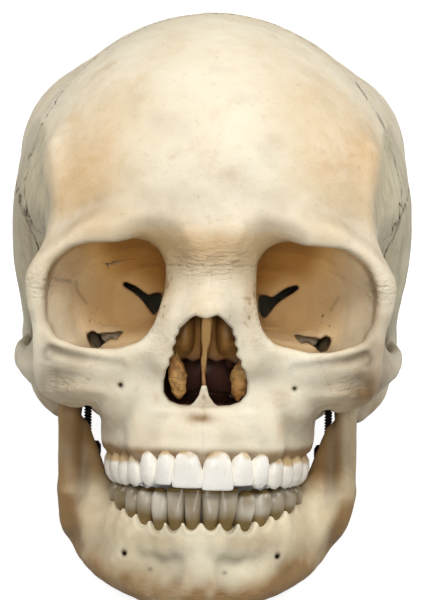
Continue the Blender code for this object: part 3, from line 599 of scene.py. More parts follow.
def vault_share(x, y, z):
    """1 on the vault, where a seam shows as a thin line, and 0 in the face, where it is grown together."""
    below = smooth_step(-z, -4, 6) * (y < -20)
    return np.maximum(smooth_step(z, 34, 44), smooth_step(y, -44, -34)) * (1 - below)


def bone_regions(x, y, z):
    """How far each point is outside each bone's share, which is what the bones before it leave."""
    vault = smooth_step(z, 28, 44)
    face = smooth_step(-y, 30, 60) * (1 - vault)
    height = 1.5 * vault + 0.35 * face
    dy = wiggle(x + 0.6 * z, y, 7.5, height)
    dz = wiggle(y + 0.7 * x, z, 6.5, 0.6 * height)
    dx = wiggle(y + 0.5 * z, x, 8.0, 1.6 * vault * smooth_step(y, -20, 0)) + wiggle(z, y, 4.0, 0.25 * face)
    lambda_y = dy + wiggle(x - 0.5 * z, y, 9.0, 1.3) * smooth_step(y, 25, 50)
    frontal = outline_distance(FRONTAL, y + dy, z + dz * 0.6)
    parietal = outline_distance(PARIETAL, y + lambda_y, z + dz)
    occipital = outline_distance(OCCIPITAL, x, y + lambda_y)
    bow = 14 * smooth_step(46 - z, 0, 40) * (1 - smooth_step(np.abs(x), 57.5, 59.5))
    temporal = outline_distance(TEMPORAL, np.abs(x), y - bow + wiggle(z, y, 9.0, 0.4))
    temple = np.maximum(np.maximum(np.abs(x) - 66, 6 - z), np.abs(y + 38) - 16 + dy)
    sphenoid = np.minimum(outline_distance(SPHENOID, x, y), temple)
    cheek = outline_distance(CHEEK, np.abs(x) + dx + wiggle(z, y, 3.5, 0.4), z)
    nasal = np.maximum(outline_distance(NASAL, x + 0.5 * dx, z + wiggle(x, z, 5, 0.3)), y + 80)
    left, right = -(x + dx), x + dx
    shares = {}
    taken = np.inf
    for name, share, sides in (("frontal_bone", frontal, None), ("parietal", parietal, (left, right)),
                               ("occipital_bone", occipital, None), ("temporal", temporal, (-x, x)),
                               ("sphenoid", sphenoid, None), ("zygomatic", cheek, (-x, x)),
                               ("nasal_bone", nasal, (left, right)), ("maxilla", -np.inf, (left, right))):
        own = np.maximum(share, -taken)
        taken = np.minimum(taken, share)
        if sides is None:
            shares[name] = own
        else:
            shares[name + "_left"] = np.maximum(own, sides[0])
            shares[name + "_right"] = np.maximum(own, sides[1])
    return shares


# Meshes


def new_object(name, mesh):
    thing = bpy.data.objects.new(name, mesh)
    bpy.context.scene.collection.objects.link(thing)
    return thing


def move_to(mesh, points):
    mesh.vertices.foreach_set("co", points.astype(np.float32).ravel())


def fast_mesh(name, points, quads):
    mesh = bpy.data.meshes.new(name)
    mesh.vertices.add(len(points))
    move_to(mesh, points)
    mesh.loops.add(4 * len(quads))
    mesh.loops.foreach_set("vertex_index", quads.astype(np.int32).ravel())
    mesh.polygons.add(len(quads))
    mesh.polygons.foreach_set("loop_start", np.arange(0, 4 * len(quads), 4, dtype=np.int32))
    mesh.update(calc_edges=True)
    return mesh


def coordinates(mesh):
    points = np.empty(3 * len(mesh.vertices), np.float32)
    mesh.vertices.foreach_get("co", points)
    return points.reshape(-1, 3)


def normals(mesh):
    found = np.empty(3 * len(mesh.vertices), np.float32)
    mesh.vertex_normals.foreach_get("vector", found)
    return found.reshape(-1, 3)


CRUMB = 0.02


def largest_part(points, quads):
    """Drops the loose crumbs that a cut leaves."""
    label = np.arange(len(points))
    while True:
        low = label[quads].min(axis=1)
        fresh = label.copy()
        for i in range(4):
            np.minimum.at(fresh, quads[:, i], low)
        fresh = fresh[fresh]
        if (fresh == label).all():
            break
        label = fresh
    names, counts = np.unique(label, return_counts=True)
    big = np.isin(label, names[counts > CRUMB * counts.max()])
    keep = big[quads].all(axis=1)
    number = np.cumsum(big) - 1
    return points[big], number[quads[keep]]


def set_value(mesh, name, values):
    mesh.attributes.new(name, "FLOAT", "POINT").data.foreach_set("value", values.astype(np.float32))


def settle(mesh):
    """Leans a finished mesh back to how the skull lies, in metres, and keeps it above the floor."""
    turned = coordinates(mesh) @ np.array(AT_REST.to_3x3()).T.astype(np.float32)
    points = turned * MM + np.array(AT_REST.translation)
    points[:, 2] = np.maximum(points[:, 2], LOWEST)
    move_to(mesh, points)
    mesh.update()


def lopsided(points):
    """No skull is quite even: small shifts, the same for bones and teeth."""
    x, y, z = points.T
    front = smooth_step(-y, 20, 60)
    middle = 1.5 * np.exp(-(x / 24) ** 2) * smooth_step(-z, -22, -6) * front
    low = smooth_step(-z, 46, 78) * (1.9 - middle)
    cheek = np.exp(-((z + 12) / 16) ** 2) * smooth_step(x, 30, 60) * smooth_step(-y, 20, 50)
    return np.stack([x - middle - low - 1.4 * cheek, y, z], axis=1)


# Paint: how strong each finish is at a place of the bone, from 0 to 1; some finishes are painted shade and
# painted highlight

# How far out a narrow and a broad hollow are looked for, to paint shade in hollows, and how far in a thin
# edge, to paint it paler as wear
NARROW, BROAD, THIN = 1.6, 6.0, 2.2
CHIN = (2, -84, -69)
CRACKS = (((-51, 21.2), (-45.5, 20.4)), ((-44, 20.4), (-43.6, 17.4)), ((-43.6, 17.4), (-40.7, 13.4)),
          ((42, 17), (39.5, 12.5)))


def jaw_paint(points, cloud):
    """The jaw: painted shade along the lower edge, under the tooth roots and on the skull's right side, a
    painted highlight on the chin, and tan branches.
    """
    x, y, z = points.T
    side = np.abs(x)
    low_edge = 3 * cloud + np.interp(side, (0, 10, 20, 29.5, 35.5, 39.5, 43, 45.5),
                                     (-78.5, -78.5, -78, -76, -73, -69.6, -64.7, -58.8))
    inner = smooth_step(-side, -47, -43) * smooth_step(z, -50, -40)
    # The chin is painted paler, with less tan, less brown and a pale spot: a painted highlight
    warm = 0.2 + 0.15 * smooth_step(side, 16, 34) + 0.6 * inner - 0.3 * spot(points, CHIN, (13, 10, 8))
    # Painted shade darkens the jaw towards its lower edge, in a band under the tooth roots and on the skull's
    # right side, most on its branch; the branches, their upper inner parts and a spot low on the left are
    # browner
    brown_tint = (1 - smooth_step(z - low_edge, -1, 12)) * (1 - 0.15 * smooth_step(x, 20, 36))
    brown_tint = brown_tint * (1 - 0.7 * spot(points, CHIN, (12, 12, 6))) + 0.35 * inner
    brown_tint = brown_tint + 0.15 * smooth_step(side, 38, 46) + 0.6 * smooth_step(-x, 38, 46)
    brown_tint = brown_tint + 0.1 * smooth_step(-x, 20, 34)
    brown_tint = brown_tint + 0.5 * np.exp(-((z + 61) / 3) ** 2 - ((side - 15) / 8) ** 2)
    brown_tint = brown_tint + 0.3 * spot(points, (32, -54, -68), (10, 16, 7))
    # Painted shade between the teeth, and two small holes beside the chin painted as dark spots of shade
    row = np.hypot(x / 29.1, (y - ROW_BACK) / 39.3)
    dark = smooth_step(z, -57, -55) * (row < 1.04) * (side < 34) * (y < -42)
    dark = dark + spots(points, (0.9, (-15.6, -82, -70.5), (0.8, 6, 0.7)),
                        (0.9, (8, -84, -70.7), (0.8, 6, 0.6)))
    nothing = np.zeros(len(points))
    return {"grey": 0.5 * smooth_step(side, 40, 49), "warm": warm, "brown_tint": brown_tint, "dark": dark,
            "deep": nothing, "nose": nothing, "wear_and_painted_light": 1.4 * spot(points, CHIN, (15, 12, 9))}


def skull_paint(points, cloud):
    """The rest: grey temples and sides, a warm forehead and tan orbits, with painted shade in the orbits, in
    the nose and low on the face, and a painted highlight on the forehead.
    """
    x, y, z = points.T
    side = np.abs(x)
    even = np.stack([side, y, z], axis=1)
    socket = smooth_step(y, -82, -74) * (1 - smooth_step(orbit_socket().distance(side, y, z), 0.8, 2.0))
    fissure = (side < 46) * (z > -6) * (z < 24) * (y > -66) * (y < -28) * (1 - socket)
    # The temples are grey behind a line down from the forehead
    line = np.interp(z, (20, 30, 42, 50, 66, 72, 79, 86), (-68, -67, -67, -65, -51, -42, -8, 40)) + 3 * cloud
    front = smooth_step(y, line - 2, line + 5)
    behind = 0.8 * (1 - smooth_step(z + 9 * cloud, 30, 105))
    grey = (front + (behind - front) * smooth_step(y, -40, 0)) * smooth_step(z, -10, 5)
    grey = grey * (1 - socket) * (1 - fissure)
    warm = 0.14 + 0.3 * socket * smooth_step(-side, -50, -36) + 0.05 * socket + 0.5 * fissure
    # Tan spots. Those on both sides of the forehead and on the skull's right brow are partly painted shade,
    # dimming those places
    warm = warm + spots(points, (0.5, (-41, -66, 56), (14, 26, 18)), (0.4, (50, -58, 64), (7, 20, 14)),
                        (0.4, (42, -70, 52), (18, 28, 26)), (0.2, (-32, -76, 76), (16, 30, 16)),
                        (0.2, (30, -76, 78), (14, 30, 16)), (0.65, (0, -92, 31), (26, 12, 8)),
                        (0.3, (-40, -75, 36), (28, 30, 24)))
    # Painted shade: darker low on the sides of the upper jaw, on the bone round and between the upper teeth,
    # towards the bottom behind the face, and in spots under and beside the cheek bones, under the nasal spine
    # and on the skull's right temple; the fissures and a spot at the glabella are browner
    brown_tint = 0.4 * fissure + 0.3 * smooth_step(side, 26, 34) * smooth_step(-z, 8, 18)
    brown_tint = brown_tint + 0.85 * smooth_step(-z, 30.5, 33.5) * (y < -40) + 0.25 * smooth_step(-z, 2, 30) * (y > -40)
    brown_tint = brown_tint + spots(points, (0.36, (-50, -68, -13), (12, 26, 8)), (0.55, (52, -68, -12), (12, 26, 10)),
                          (0.4, (56, -66, 4), (8, 20, 12)), (0.9, (-0.6, -90, -21.9), (4.5, 6, 1.6)),
                          (0.22, (-66, -40, 30), (12, 26, 30)), (0.2, (0, -92, 30), (16, 12, 6)))
    # The groove for the tear sac is flecked
    tear = spot(even, (12.6, -84, 12), (2.4, 8, 10))
    brown_tint = brown_tint + 0.45 * tear + 0.8 * tear * smooth_step(noise(points + 5, 1.5), 0.35, 0.6)
    # The nose cavity is painted dark, more so lower down: painted shade
    nose = (side < 14.5) * smooth_step(y, -84, -76) * (z > -19.5) * (z < 13) * (y < -40)
    # The orbits are tan, painted darker towards the roof, at the inner upper corner under the brow and deeper
    # in: painted shade
    deep = socket * (0.3 + 0.7 * smooth_step(z, 10, 32)) * (1 - 0.75 * smooth_step(side, 28, 46))
    deep = deep + 0.22 * socket * smooth_step(-side, -26, -17)
    deep = deep + 0.4 * spot(even, (15.5, -84, 20), (3.5, 9, 8))
    deep = np.maximum(deep, 0.6 * socket * smooth_step(y, -66, -48))
    deep = np.maximum(deep, 0.75 * spot(even, (19, -86, 29), (6, 10, 7)))
    # The bone points between the upper teeth are painted dark, as painted shade, and a pale spot on the
    # forehead is a painted highlight
    return {"grey": grey, "warm": warm, "brown_tint": brown_tint, "deep": np.maximum(deep, nose),
            "nose": nose * (0.15 + 0.85 * smooth_step(-z, 1, 6)),
            "dark": 0.4 * smooth_step(-z, 34.5, 36.5) * (y < -40),
            "wear_and_painted_light": 0.6 * spot(points, (0, -80, 72), (24, 40, 24))}


def crack_distance(x, z):
    """How far a point is from the fine cracks in the orbits, seen from the front."""
    nearest = 9.0
    for (x0, z0), (x1, z1) in CRACKS:
        t = np.clip(((x - x0) * (x1 - x0) + (z - z0) * (z1 - z0)) / ((x1 - x0) ** 2 + (z1 - z0) ** 2), 0, 1)
        nearest = np.minimum(nearest, np.hypot(x - x0 - t * (x1 - x0), z - z0 - t * (z1 - z0)))
    return nearest


def paint(mesh, whole, seam, jaw_bone):
    """Writes the finishes of a bone into its points, for its material to read."""
    points, facing = coordinates(mesh), normals(mesh)
    x, y, z = points.T
    # Points in narrow and broad hollows are painted dark, as painted shade; thin edges are painted paler, as
    # wear
    near = np.clip(1 - whole.at(points + facing * NARROW) / NARROW, 0, 1)
    wide = np.clip(1 - whole.at(points + facing * BROAD) / BROAD, 0, 1)
    edge = np.clip(1 + whole.at(points - facing * THIN) / THIN, 0, 1)
    cloud = noise(points, 14)
    speck = noise(points, 3.5)
    share = jaw_paint(points, cloud) if jaw_bone else skull_paint(points, cloud)
    share["hollow_shade_and_flecks"] = 0.9 * near + 0.25 * wide * (1 - np.clip(share["deep"], 0, 1)) + 0.7 * share.pop("dark")
    share["grey"] = share["grey"] * (0.8 + 0.3 * cloud)
    share["warm"] = share["warm"] + 0.12 * cloud + 0.06 * speck
    share["brown_tint"] = share["brown_tint"] * (1 + 0.3 * cloud + 0.25 * speck)
    share["wear_and_painted_light"] = share["wear_and_painted_light"] + edge
    crack = 0.6 * np.exp(-(crack_distance(x, z) / 0.45) ** 2) * (y > -74) * (y < -46)
    share["seam"] = np.maximum(np.exp(-((seam + 0.1) / 0.5) ** 2) * vault_share(x, y, z), crack)
    share["rough"] = spots(np.stack([np.abs(x), y, z], axis=1),
                           (1, (0, -94, 27), (15, 10, 6)), (1, (54, -72, 20), (5, 8, 5)),
                           (0.9, (46, -74, -15), (6, 10, 7)), (0.8, (16, -84, 10), (3.5, 6, 12)),
                           (0.7, (0, -82, -82), (34, 16, 7)))
    for key, value in share.items():
        set_value(mesh, key, np.clip(value, 0, 1))


def roughen(points, facing):
    """Moves the surface a little: low lumps, fine unevenness and the rough places."""
    relief = 0.28 * noise(points, 9) + 0.10 * noise(points, 3.2)
    rough = spots(np.stack([np.abs(points[:, 0]), points[:, 1], points[:, 2]], axis=1),
                  (1, (0, -94, 27), (12, 8, 5)), (1, (54, -72, 22), (5, 6, 4)),
                  (0.8, (44, -74, -17), (6, 8, 6)), (1, (0, -82, -84), (26, 14, 6)))
    relief = relief + np.clip(rough, 0, 1) * 0.34 * noise(points, (3.4, 2.0, 0.9))
    return points + facing * relief[:, None]


def bone_mesh(name, field, whole, share):
    """A bone: its share of the whole, meshed, roughened and painted."""
    points, quads = largest_part(*field.skin())
    mesh = fast_mesh(name, points, quads)
    facing = normals(mesh)
    seam = share(coordinates(mesh))
    move_to(mesh, roughen(points.astype(np.float32), facing))
    mesh.update()
    paint(mesh, whole, seam, name == "mandible")
    move_to(mesh, lopsided(coordinates(mesh)))
    return mesh


# Materials


def linear(code):
    """A colour given as sRGB hex, as light."""
    parts = [int(code[i:i + 2], 16) / 255 for i in (0, 2, 4)]
    return tuple(c / 12.92 if c <= 0.04045 else ((c + 0.055) / 1.055) ** 2.4 for c in parts) + (1,)


def node(tree, kind, inputs, output=0, **settings):
    """Adds a node; an input is a value or another node's output, and one of its own outputs is given back."""
    made = tree.nodes.new("ShaderNode" + kind)
    for key, value in settings.items():
        setattr(made, key, value)
    for key, value in inputs.items():
        if isinstance(value, bpy.types.NodeSocket):
            tree.links.new(value, made.inputs[key])
        else:
            made.inputs[key].default_value = value
    return made.outputs[output]


def start_material(name):
    """A material with its nodes, its shader and where each point lies."""
    material = bpy.data.materials.new(name)
    material.use_nodes = True
    tree = material.node_tree
    return material, tree, tree.nodes["Principled BSDF"], node(tree, "TexCoord", {}, "Object")


def plug(tree, shader, colour, matt, bump):
    for socket, value in (("Base Color", colour), ("Roughness", matt), ("Normal", bump)):
        tree.links.new(value, shader.inputs[socket])


def bone_material(name, base, grey, warm, deep, roughness):
    """Dry bone, cleaned and bleached: matt to waxy, with stains, painted shade in hollows, cavities and
    underneath, paler worn edges and a painted highlight.
    """
    material, tree, shader, place = start_material(name)
    painted = {key: node(tree, "Attribute", {}, "Fac", attribute_name=key)
               for key in ("grey", "warm", "deep", "hollow_shade_and_flecks", "wear_and_painted_light", "seam", "nose", "rough", "brown_tint")}
    # Clouds of stain about 12 mm across, mottling about 2 mm, grain about 0.5 mm, and veins that run upwards
    along = node(tree, "Mapping", {"Vector": place, "Scale": (1.0, 1.0, 0.22)})
    across = node(tree, "Mapping", {"Vector": place, "Scale": (0.3, 0.6, 1.0)})
    clouds, mottle, grain, veins, ridges = (
        node(tree, "TexNoise", {"Vector": where, "Scale": scale, "Detail": detail, "Roughness": 0.65})
        for where, scale, detail in ((place, 80, 5), (place, 420, 4), (place, 1900, 3), (along, 380, 5),
                                     (across, 900, 3)))
    pits = node(tree, "TexVoronoi", {"Vector": place, "Scale": 260})
    spread = {key: node(tree, "MapRange", {0: source, 1: start, 2: end}, interpolation_type="SMOOTHSTEP")
              for key, source, start, end in (
                  ("clouds", clouds, 0.5, 0.8), ("mottle", mottle, 0.55, 0.8),
                  ("veins", veins, 0.48, 0.62), ("pits", pits, 0.14, 0.0), ("waxy", mottle, 0.3, 0.8),
                  ("cavity_shade", painted["deep"], 0.5, 1.0))}
    spread["veins"] = node(tree, "Math", {0: spread["veins"], 1: painted["grey"]}, operation="MULTIPLY")
    colour = linear(base)
    # Of these tints, the dark ones for hollows, cavities and the nose are painted shade, the brown tint is
    # stain and painted shade, and the pale one is wear and a painted highlight
    for tint, share, strength in ((warm, painted["warm"], 1.0), (warm, spread["clouds"], 0.45),
                                  (grey, painted["grey"], 1.0), ("6f6a55", spread["veins"], 0.36),
                                  ("f7f1dc", painted["wear_and_painted_light"], 0.35), ("96764a", spread["mottle"], 0.24),
                                  (deep, painted["deep"], 0.95), ("a5702f", spread["cavity_shade"], 0.8),
                                  ("94744a", painted["brown_tint"], 1.0), ("664034", painted["nose"], 1.0),
                                  ("3c2816", painted["hollow_shade_and_flecks"], 0.8), ("4a3520", painted["seam"], 0.6)):
        share = node(tree, "Math", {0: share, 1: strength}, operation="MULTIPLY")
        colour = node(tree, "Mix", {0: share, 6: colour, 7: linear(tint)}, 2, data_type="RGBA")
    matt = node(tree, "MapRange", {0: spread["waxy"], 3: roughness - 0.06, 4: roughness + 0.14})
    shader.inputs["Specular IOR Level"].default_value = 0.4
    height = node(tree, "Math", {0: mottle, 1: 1.6, 2: grain}, operation="MULTIPLY_ADD")
    height = node(tree, "Math", {0: spread["pits"], 1: -0.5, 2: height}, operation="MULTIPLY_ADD")
    bump = node(tree, "Bump", {"Height": height, "Strength": 0.4, "Distance": 0.0003})
    # Rough places have crosswise ridges about 1 mm apart
    coarse = node(tree, "Math", {0: ridges, 1: painted["rough"]}, operation="MULTIPLY")
    bump = node(tree, "Bump", {"Height": coarse, "Normal": bump, "Strength": 1.0, "Distance": 0.0016})
    plug(tree, shader, colour, matt, bump)
    return material


def enamel_material():
    """Tooth enamel over dentine: glossy white crowns, yellow necks and brown roots."""
    material, tree, shader, place = start_material("tooth enamel")
    height, wear_and_painted_light = (node(tree, "Attribute", {}, "Fac", attribute_name=key) for key in ("crown", "shade"))
    along = node(tree, "Mapping", {"Vector": place, "Scale": (1.0, 1.0, 0.18)})
    mottle = node(tree, "TexNoise", {"Vector": place, "Scale": 600, "Detail": 4})
    cracks = node(tree, "TexNoise", {"Vector": along, "Scale": 1500, "Detail": 2})
    colour = linear("7d5f38")
    # The shade attribute tints the teeth towards brown: mostly painted shade, strongest on the lower teeth
    # under the upper ones
    for tint, source, start, end, strength in (
            ("bfa272", height, -0.3, -0.02, 1.0), ("f6f1e6", height, -0.02, 0.2, 1.0),
            ("dfe0dc", height, 0.75, 1.0, 0.5), ("705a2a", wear_and_painted_light, 0.0, 1.0, 1.0),
            ("c08f50", mottle, 0.6, 0.8, 0.3), ("8d7a5c", cracks, 0.66, 0.76, 0.16)):
        share = node(tree, "MapRange", {0: source, 1: start, 2: end, 4: strength},
                     interpolation_type="SMOOTHSTEP")
        colour = node(tree, "Mix", {0: share, 6: colour, 7: linear(tint)}, 2, data_type="RGBA")
    matt = node(tree, "MapRange", {0: height, 1: -0.2, 2: 0.2, 3: 0.6, 4: 0.34})
    bump = node(tree, "Bump", {"Height": mottle, "Strength": 0.25, "Distance": 0.0002})
    plug(tree, shader, colour, matt, bump)
    return material


def steel_material():
    """Spring steel, blued and tarnished: dark, with a soft shine on its turns."""
    material, tree, shader, place = start_material("tarnished spring steel")
    brown_tint = node(tree, "TexNoise", {"Vector": place, "Scale": 700, "Detail": 5, "Roughness": 0.7})
    share = node(tree, "MapRange", {0: brown_tint, 1: 0.45, 2: 0.7})
    colour = node(tree, "Mix", {0: share, 6: linear("3d3a3a"), 7: linear("4a2c1c")}, 2, data_type="RGBA")
    matt = node(tree, "MapRange", {0: brown_tint, 1: 0.3, 2: 0.7, 3: 0.3, 4: 0.6})
    shader.inputs["Metallic"].default_value = 0.9
    bump = node(tree, "Bump", {"Height": brown_tint, "Strength": 0.3, "Distance": 0.0001})
    plug(tree, shader, colour, matt, bump)
    return material


BONE = bone_material("dry bone", "ece3cb", "bdb496", "c79d5c", "f1c272", 0.41)
JAW_BONE = bone_material("dry bone of the jaw", "e8dcba", "9c9176", "a98450", "f1c272", 0.5)
ENAMEL = enamel_material()
STEEL = steel_material()
# The thin plates in the nose are stained brown
PLATE = bone_material("thin brown bone", "c9a062", "a08050", "a86a2c", "8a5a2c", 0.55)


def finished(name, mesh, material, node_name=None):
    """Lays a mesh down as a piece of its own, in the place of a node where one is named."""
    settle(mesh)
    mesh.shade_smooth()
    thing = new_object("shaped_" + name if node_name else name, mesh)
    mesh.name = thing.name
    mesh.materials.clear()
    mesh.materials.append(material)
    if node_name:
        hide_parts(node_name)
    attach(thing, "root")
    return thing


def no_seam(points):
    return np.full(len(points), -9.0)


def make_bones():
    vault = cranium((0, -106, -62), (78, 96, 122), VAULT_STEP).mirror()
    face = cranium((0, -106, -62), (78, -22, 42), FACE_STEP).mirror()
    boxes = {"frontal_bone": (vault, (-76, -106, 12), (76, 0, 122)),
             "parietal_left": (vault, (-8, -50, 8), (78, 96, 122)),
             "parietal_right": (vault, (-78, -50, 8), (8, 96, 122)),
             "occipital_bone": (vault, (-70, -14, -62), (70, 96, 90)),
             "temporal_left": (vault, (16, -46, -62), (78, 60, 70)),
             "temporal_right": (vault, (-78, -46, -62), (-16, 60, 70)),
             "sphenoid": (vault, (-68, -66, -62), (68, 40, 70)),
             "zygomatic_left": (face, (28, -106, -44), (78, -32, 32)),
             "zygomatic_right": (face, (-78, -106, -44), (-28, -32, 32)),
             "nasal_bone_left": (face, (-3, -106, 4), (12, -76, 34)),
             "nasal_bone_right": (face, (-12, -106, 4), (3, -76, 34)),
             "maxilla_left": (face, (-3, -106, -44), (60, -34, 36)),
             "maxilla_right": (face, (-60, -106, -44), (3, -34, 36))}
    for name, (source, low, high) in boxes.items():
        field = source.part(low, high)
        inside = np.nonzero(field.values < BAND)
        x, y, z = (axis[i] for axis, i in zip(field.axes, inside))
        own = bone_regions(x, y, z)[name] + FACE_SEAM + (VAULT_SEAM - FACE_SEAM) * vault_share(x, y, z)
        field.values[inside] = np.maximum(field.values[inside], own)
        # Nothing reaches the sides of the box, so that each bone is closed
        for side in (np.s_[0], np.s_[-1], np.s_[:, 0], np.s_[:, -1], np.s_[:, :, 0], np.s_[:, :, -1]):
            field.values[side] = np.maximum(field.values[side], 1.0)
        mesh = bone_mesh(name, field, source, lambda p, name=name: bone_regions(*p.T)[name])
        finished(name, mesh, BONE, name)
    lower = jaw(FACE_STEP).mirror()
    mesh = bone_mesh("mandible", lower, lower, no_seam)
    finished("mandible", mesh, JAW_BONE, "mandible")


# Crown height from root tip, share of the width and of the thickness, and shift outwards in millimetres
TOOTH_SHAPES = {
    "blade": ((-1, 0.1, 0.1, -3.2), (-0.9, 0.4, 0.4, -3.0), (-0.4, 0.58, 0.8, -1.6), (0, 0.56, 0.92, -0.5),
              (0.1, 0.7, 1.0, -0.2), (0.32, 0.85, 0.92, 0.2), (0.58, 0.96, 0.7, 0.5), (0.84, 1.0, 0.4, 0.9),
              (0.97, 0.93, 0.26, 1.1), (1, 0.6, 0.1, 1.1)),
    "peg": ((-1, 0.1, 0.1, -3.2), (-0.9, 0.4, 0.4, -3.0), (-0.4, 0.74, 0.8, -1.6), (0, 0.78, 0.92, -0.5),
            (0.12, 0.8, 1.0, -0.2), (0.35, 0.84, 0.92, 0.2), (0.6, 0.92, 0.7, 0.5), (0.85, 0.97, 0.4, 0.8),
            (0.98, 0.95, 0.3, 0.9), (1, 0.8, 0.16, 0.9)),
    "point": ((-1, 0.1, 0.1, -3.2), (-0.9, 0.34, 0.4, -3.0), (-0.4, 0.68, 0.8, -1.6), (0, 0.74, 0.94, -0.5),
              (0.12, 0.76, 1.0, -0.2), (0.4, 0.95, 0.92, 0.2), (0.68, 0.97, 0.68, 0.6),
              (0.86, 0.76, 0.44, 0.8), (0.96, 0.46, 0.26, 0.9), (1, 0.2, 0.1, 0.9)),
    "block": ((-1, 0.1, 0.1, -2.4), (-0.9, 0.42, 0.45, -2.2), (-0.4, 0.66, 0.74, -1.2), (0, 0.7, 0.88, -0.4),
              (0.2, 0.8, 0.97, 0), (0.5, 0.95, 1.0, 0), (0.75, 0.94, 0.9, 0), (0.92, 0.8, 0.72, 0),
              (1.0, 0.6, 0.5, 0), (0.86, 0.1, 0.1, 0)),
}
TOOTH_SHAPES["molar"] = TOOTH_SHAPES["block"]
# What sets single teeth apart: length added, then lean along the row and turn in degrees
ODD_TEETH = {("upper", 1, 0): (0.6, 0, 2), ("upper", -1, 0): (0, -1, 0), ("upper", -1, 1): (-0.3, 7, -14),
             ("upper", 1, 1): (-0.4, -3, 8), ("upper", 1, 2): (0.5, -3, 6), ("upper", -1, 2): (0.3, 3, -10),
             ("lower", 1, 1): (0.4, -5, 5), ("lower", -1, 1): (0.3, 1, 4), ("lower", -1, 0): (0.2, 1, -6),
             ("lower", 1, 2): (0, -3, -8), ("lower", -1, 2): (0.4, 2, 6), ("lower", 1, 3): (0, -2, 5)}
RINGS = 27
SIDES = 28
# A crown's section is an ellipse at 1 and squarer below
ROUND = 0.75
TOOTH_GAP = 0.12


def tooth(place, out, size, down, root, odd):
    """One tooth, as a ball whose rings take the tooth's outline."""
    wide, thick, tall, kind = size
    tall += odd[0]
    lean, turn = np.radians(odd[1:])
    shape = bmesh.new()
    bmesh.ops.create_uvsphere(shape, u_segments=SIDES, v_segments=RINGS, radius=1)
    rows = np.array(TOOTH_SHAPES[kind])
    c, s = np.cos(turn), np.sin(turn)
    out = np.array((out[0] * c - out[1] * s, out[0] * s + out[1] * c, 0))
    along = np.array((-out[1], out[0], 0))
    crown = shape.verts.layers.float.new("crown")
    for vertex in shape.verts:
        latitude = np.arcsin(np.clip(vertex.co.z, -1, 1)) / (np.pi / 2)
        at = (latitude + 1) / 2 * (len(rows) - 1)
        height, w, t, shift = (np.interp(at, np.arange(len(rows)), rows[:, i]) for i in range(4))
        if abs(latitude) > 0.999:
            w = t = 0
        angle = np.arctan2(vertex.co.y, vertex.co.x)
        ca, sa = np.cos(angle), np.sin(angle)
        if kind == "molar" and height > 0.6:
            height -= 0.1 * (1 - abs(np.sin(2 * angle))) * (height - 0.6) / 0.4
        if kind == "block" and height > 0.6:
            height -= 0.14 * (1 - abs(sa)) * (height - 0.6) / 0.4
        a = np.sign(ca) * abs(ca) ** ROUND * (wide - TOOTH_GAP) * w / 2
        b = np.sign(sa) * abs(sa) ** ROUND * thick * t / 2 + shift
        lift = height * (tall if height > 0 else root)
        a += np.sin(lean) * (tall - lift)
        vertex.co = place + along * a + out * b + np.array((0, 0, down * lift))
        vertex[crown] = height
    bmesh.ops.recalc_face_normals(shape, faces=shape.faces)
    return shape


def make_teeth():
    for row, sizes, necks, curve, down, root in (
            ("upper", UPPER_TEETH, UPPER_NECKS, UPPER_ROW, -1, 9),
            ("lower", LOWER_TEETH, LOWER_NECKS, LOWER_ROW, 1, 12)):
        for side, side_name in BOTH:
            joined = bmesh.new()
            mesh = bpy.data.meshes.new("teeth")
            for number, ((at, out), size, neck) in enumerate(zip(row_places(sizes, curve), sizes, necks)):
                at, out = np.array((at[0] * side, at[1])), np.array((out[0] * side, out[1]))
                place = np.array((*(at - out * size[1] / 2), neck))
                one = tooth(place, out, size, down, root, ODD_TEETH.get((row, side, number), (0, 0, 0)))
                one.to_mesh(mesh)
                one.free()
                joined.from_mesh(mesh)
            joined.to_mesh(mesh)
            joined.free()
            points = lopsided(coordinates(mesh))
            points = points + normals(mesh) * 0.06 * noise(points, 2.2)[:, None]
            move_to(mesh, points)
            crown = np.empty(len(points), np.float32)
            mesh.attributes["crown"].data.foreach_get("value", crown)
            back = smooth_step(np.abs(points[:, 0]), 15, 25)
            if row == "upper":
                shade = 0.03 + 0.3 * back
                crown = crown - 0.12 * back + 0.14 * noise(points + 3, 2.6)
            else:
                shade = 0.68 - 0.12 * smooth_step(np.abs(points[:, 0]), 8, 20)
                shade = shade + 0.25 * smooth_step(-crown, -0.4, 0.1) + 0.2 * back
                shade = shade + 0.6 * smooth_step(crown, 0.84, 0.9) * (1 - back)
            mesh.attributes["crown"].data.foreach_set("value", crown.astype(np.float32))
            set_value(mesh, "shade", np.clip(shade + 0.12 * noise(points, 4), 0, 1))
            finished(row + "_teeth_" + side_name, mesh, ENAMEL)


# What is fixed in the nose and on the jaw

SPRING_X, SPRING_Y = 41.6, -16.0
SPRING_FOOT = -35.0
WIRE, COIL, PITCH = 0.42, 0.98, 1.0
TURN_STEPS = 16


def make_septum():
    field = Field((-6, -92, -22), (6, -52, 14), 0.45)
    outline = ((-87, 9.8), (-83.5, 2), (-81, -8), (-80, -18.2), (-55, -18.2), (-55, 9.8))

    def distance(x, y, z):
        bend = 0.5 * np.sin(z * 0.22) + 0.3 * np.sin(y * 0.3)
        half = np.interp(z, (-18.4, -15, -10, -4, 2, 8, 10), (0.8, 0.5, 0.42, 0.8, 1.3, 1.7, 1.2))
        side = outline_distance(outline, y, z)
        return np.maximum(side, np.abs(x - bend) - half - 0.14 * np.sin(z * 1.1 + y))

    field.add(Shape((-6, -92, -22), (6, -52, 14), distance))
    mesh = bone_mesh("nasal_septum", field, field, no_seam)
    mesh.attributes["wear_and_painted_light"].data.foreach_set("value", np.zeros(len(mesh.vertices), np.float32))
    finished("nasal_septum", mesh, PLATE, "nasal_septum")


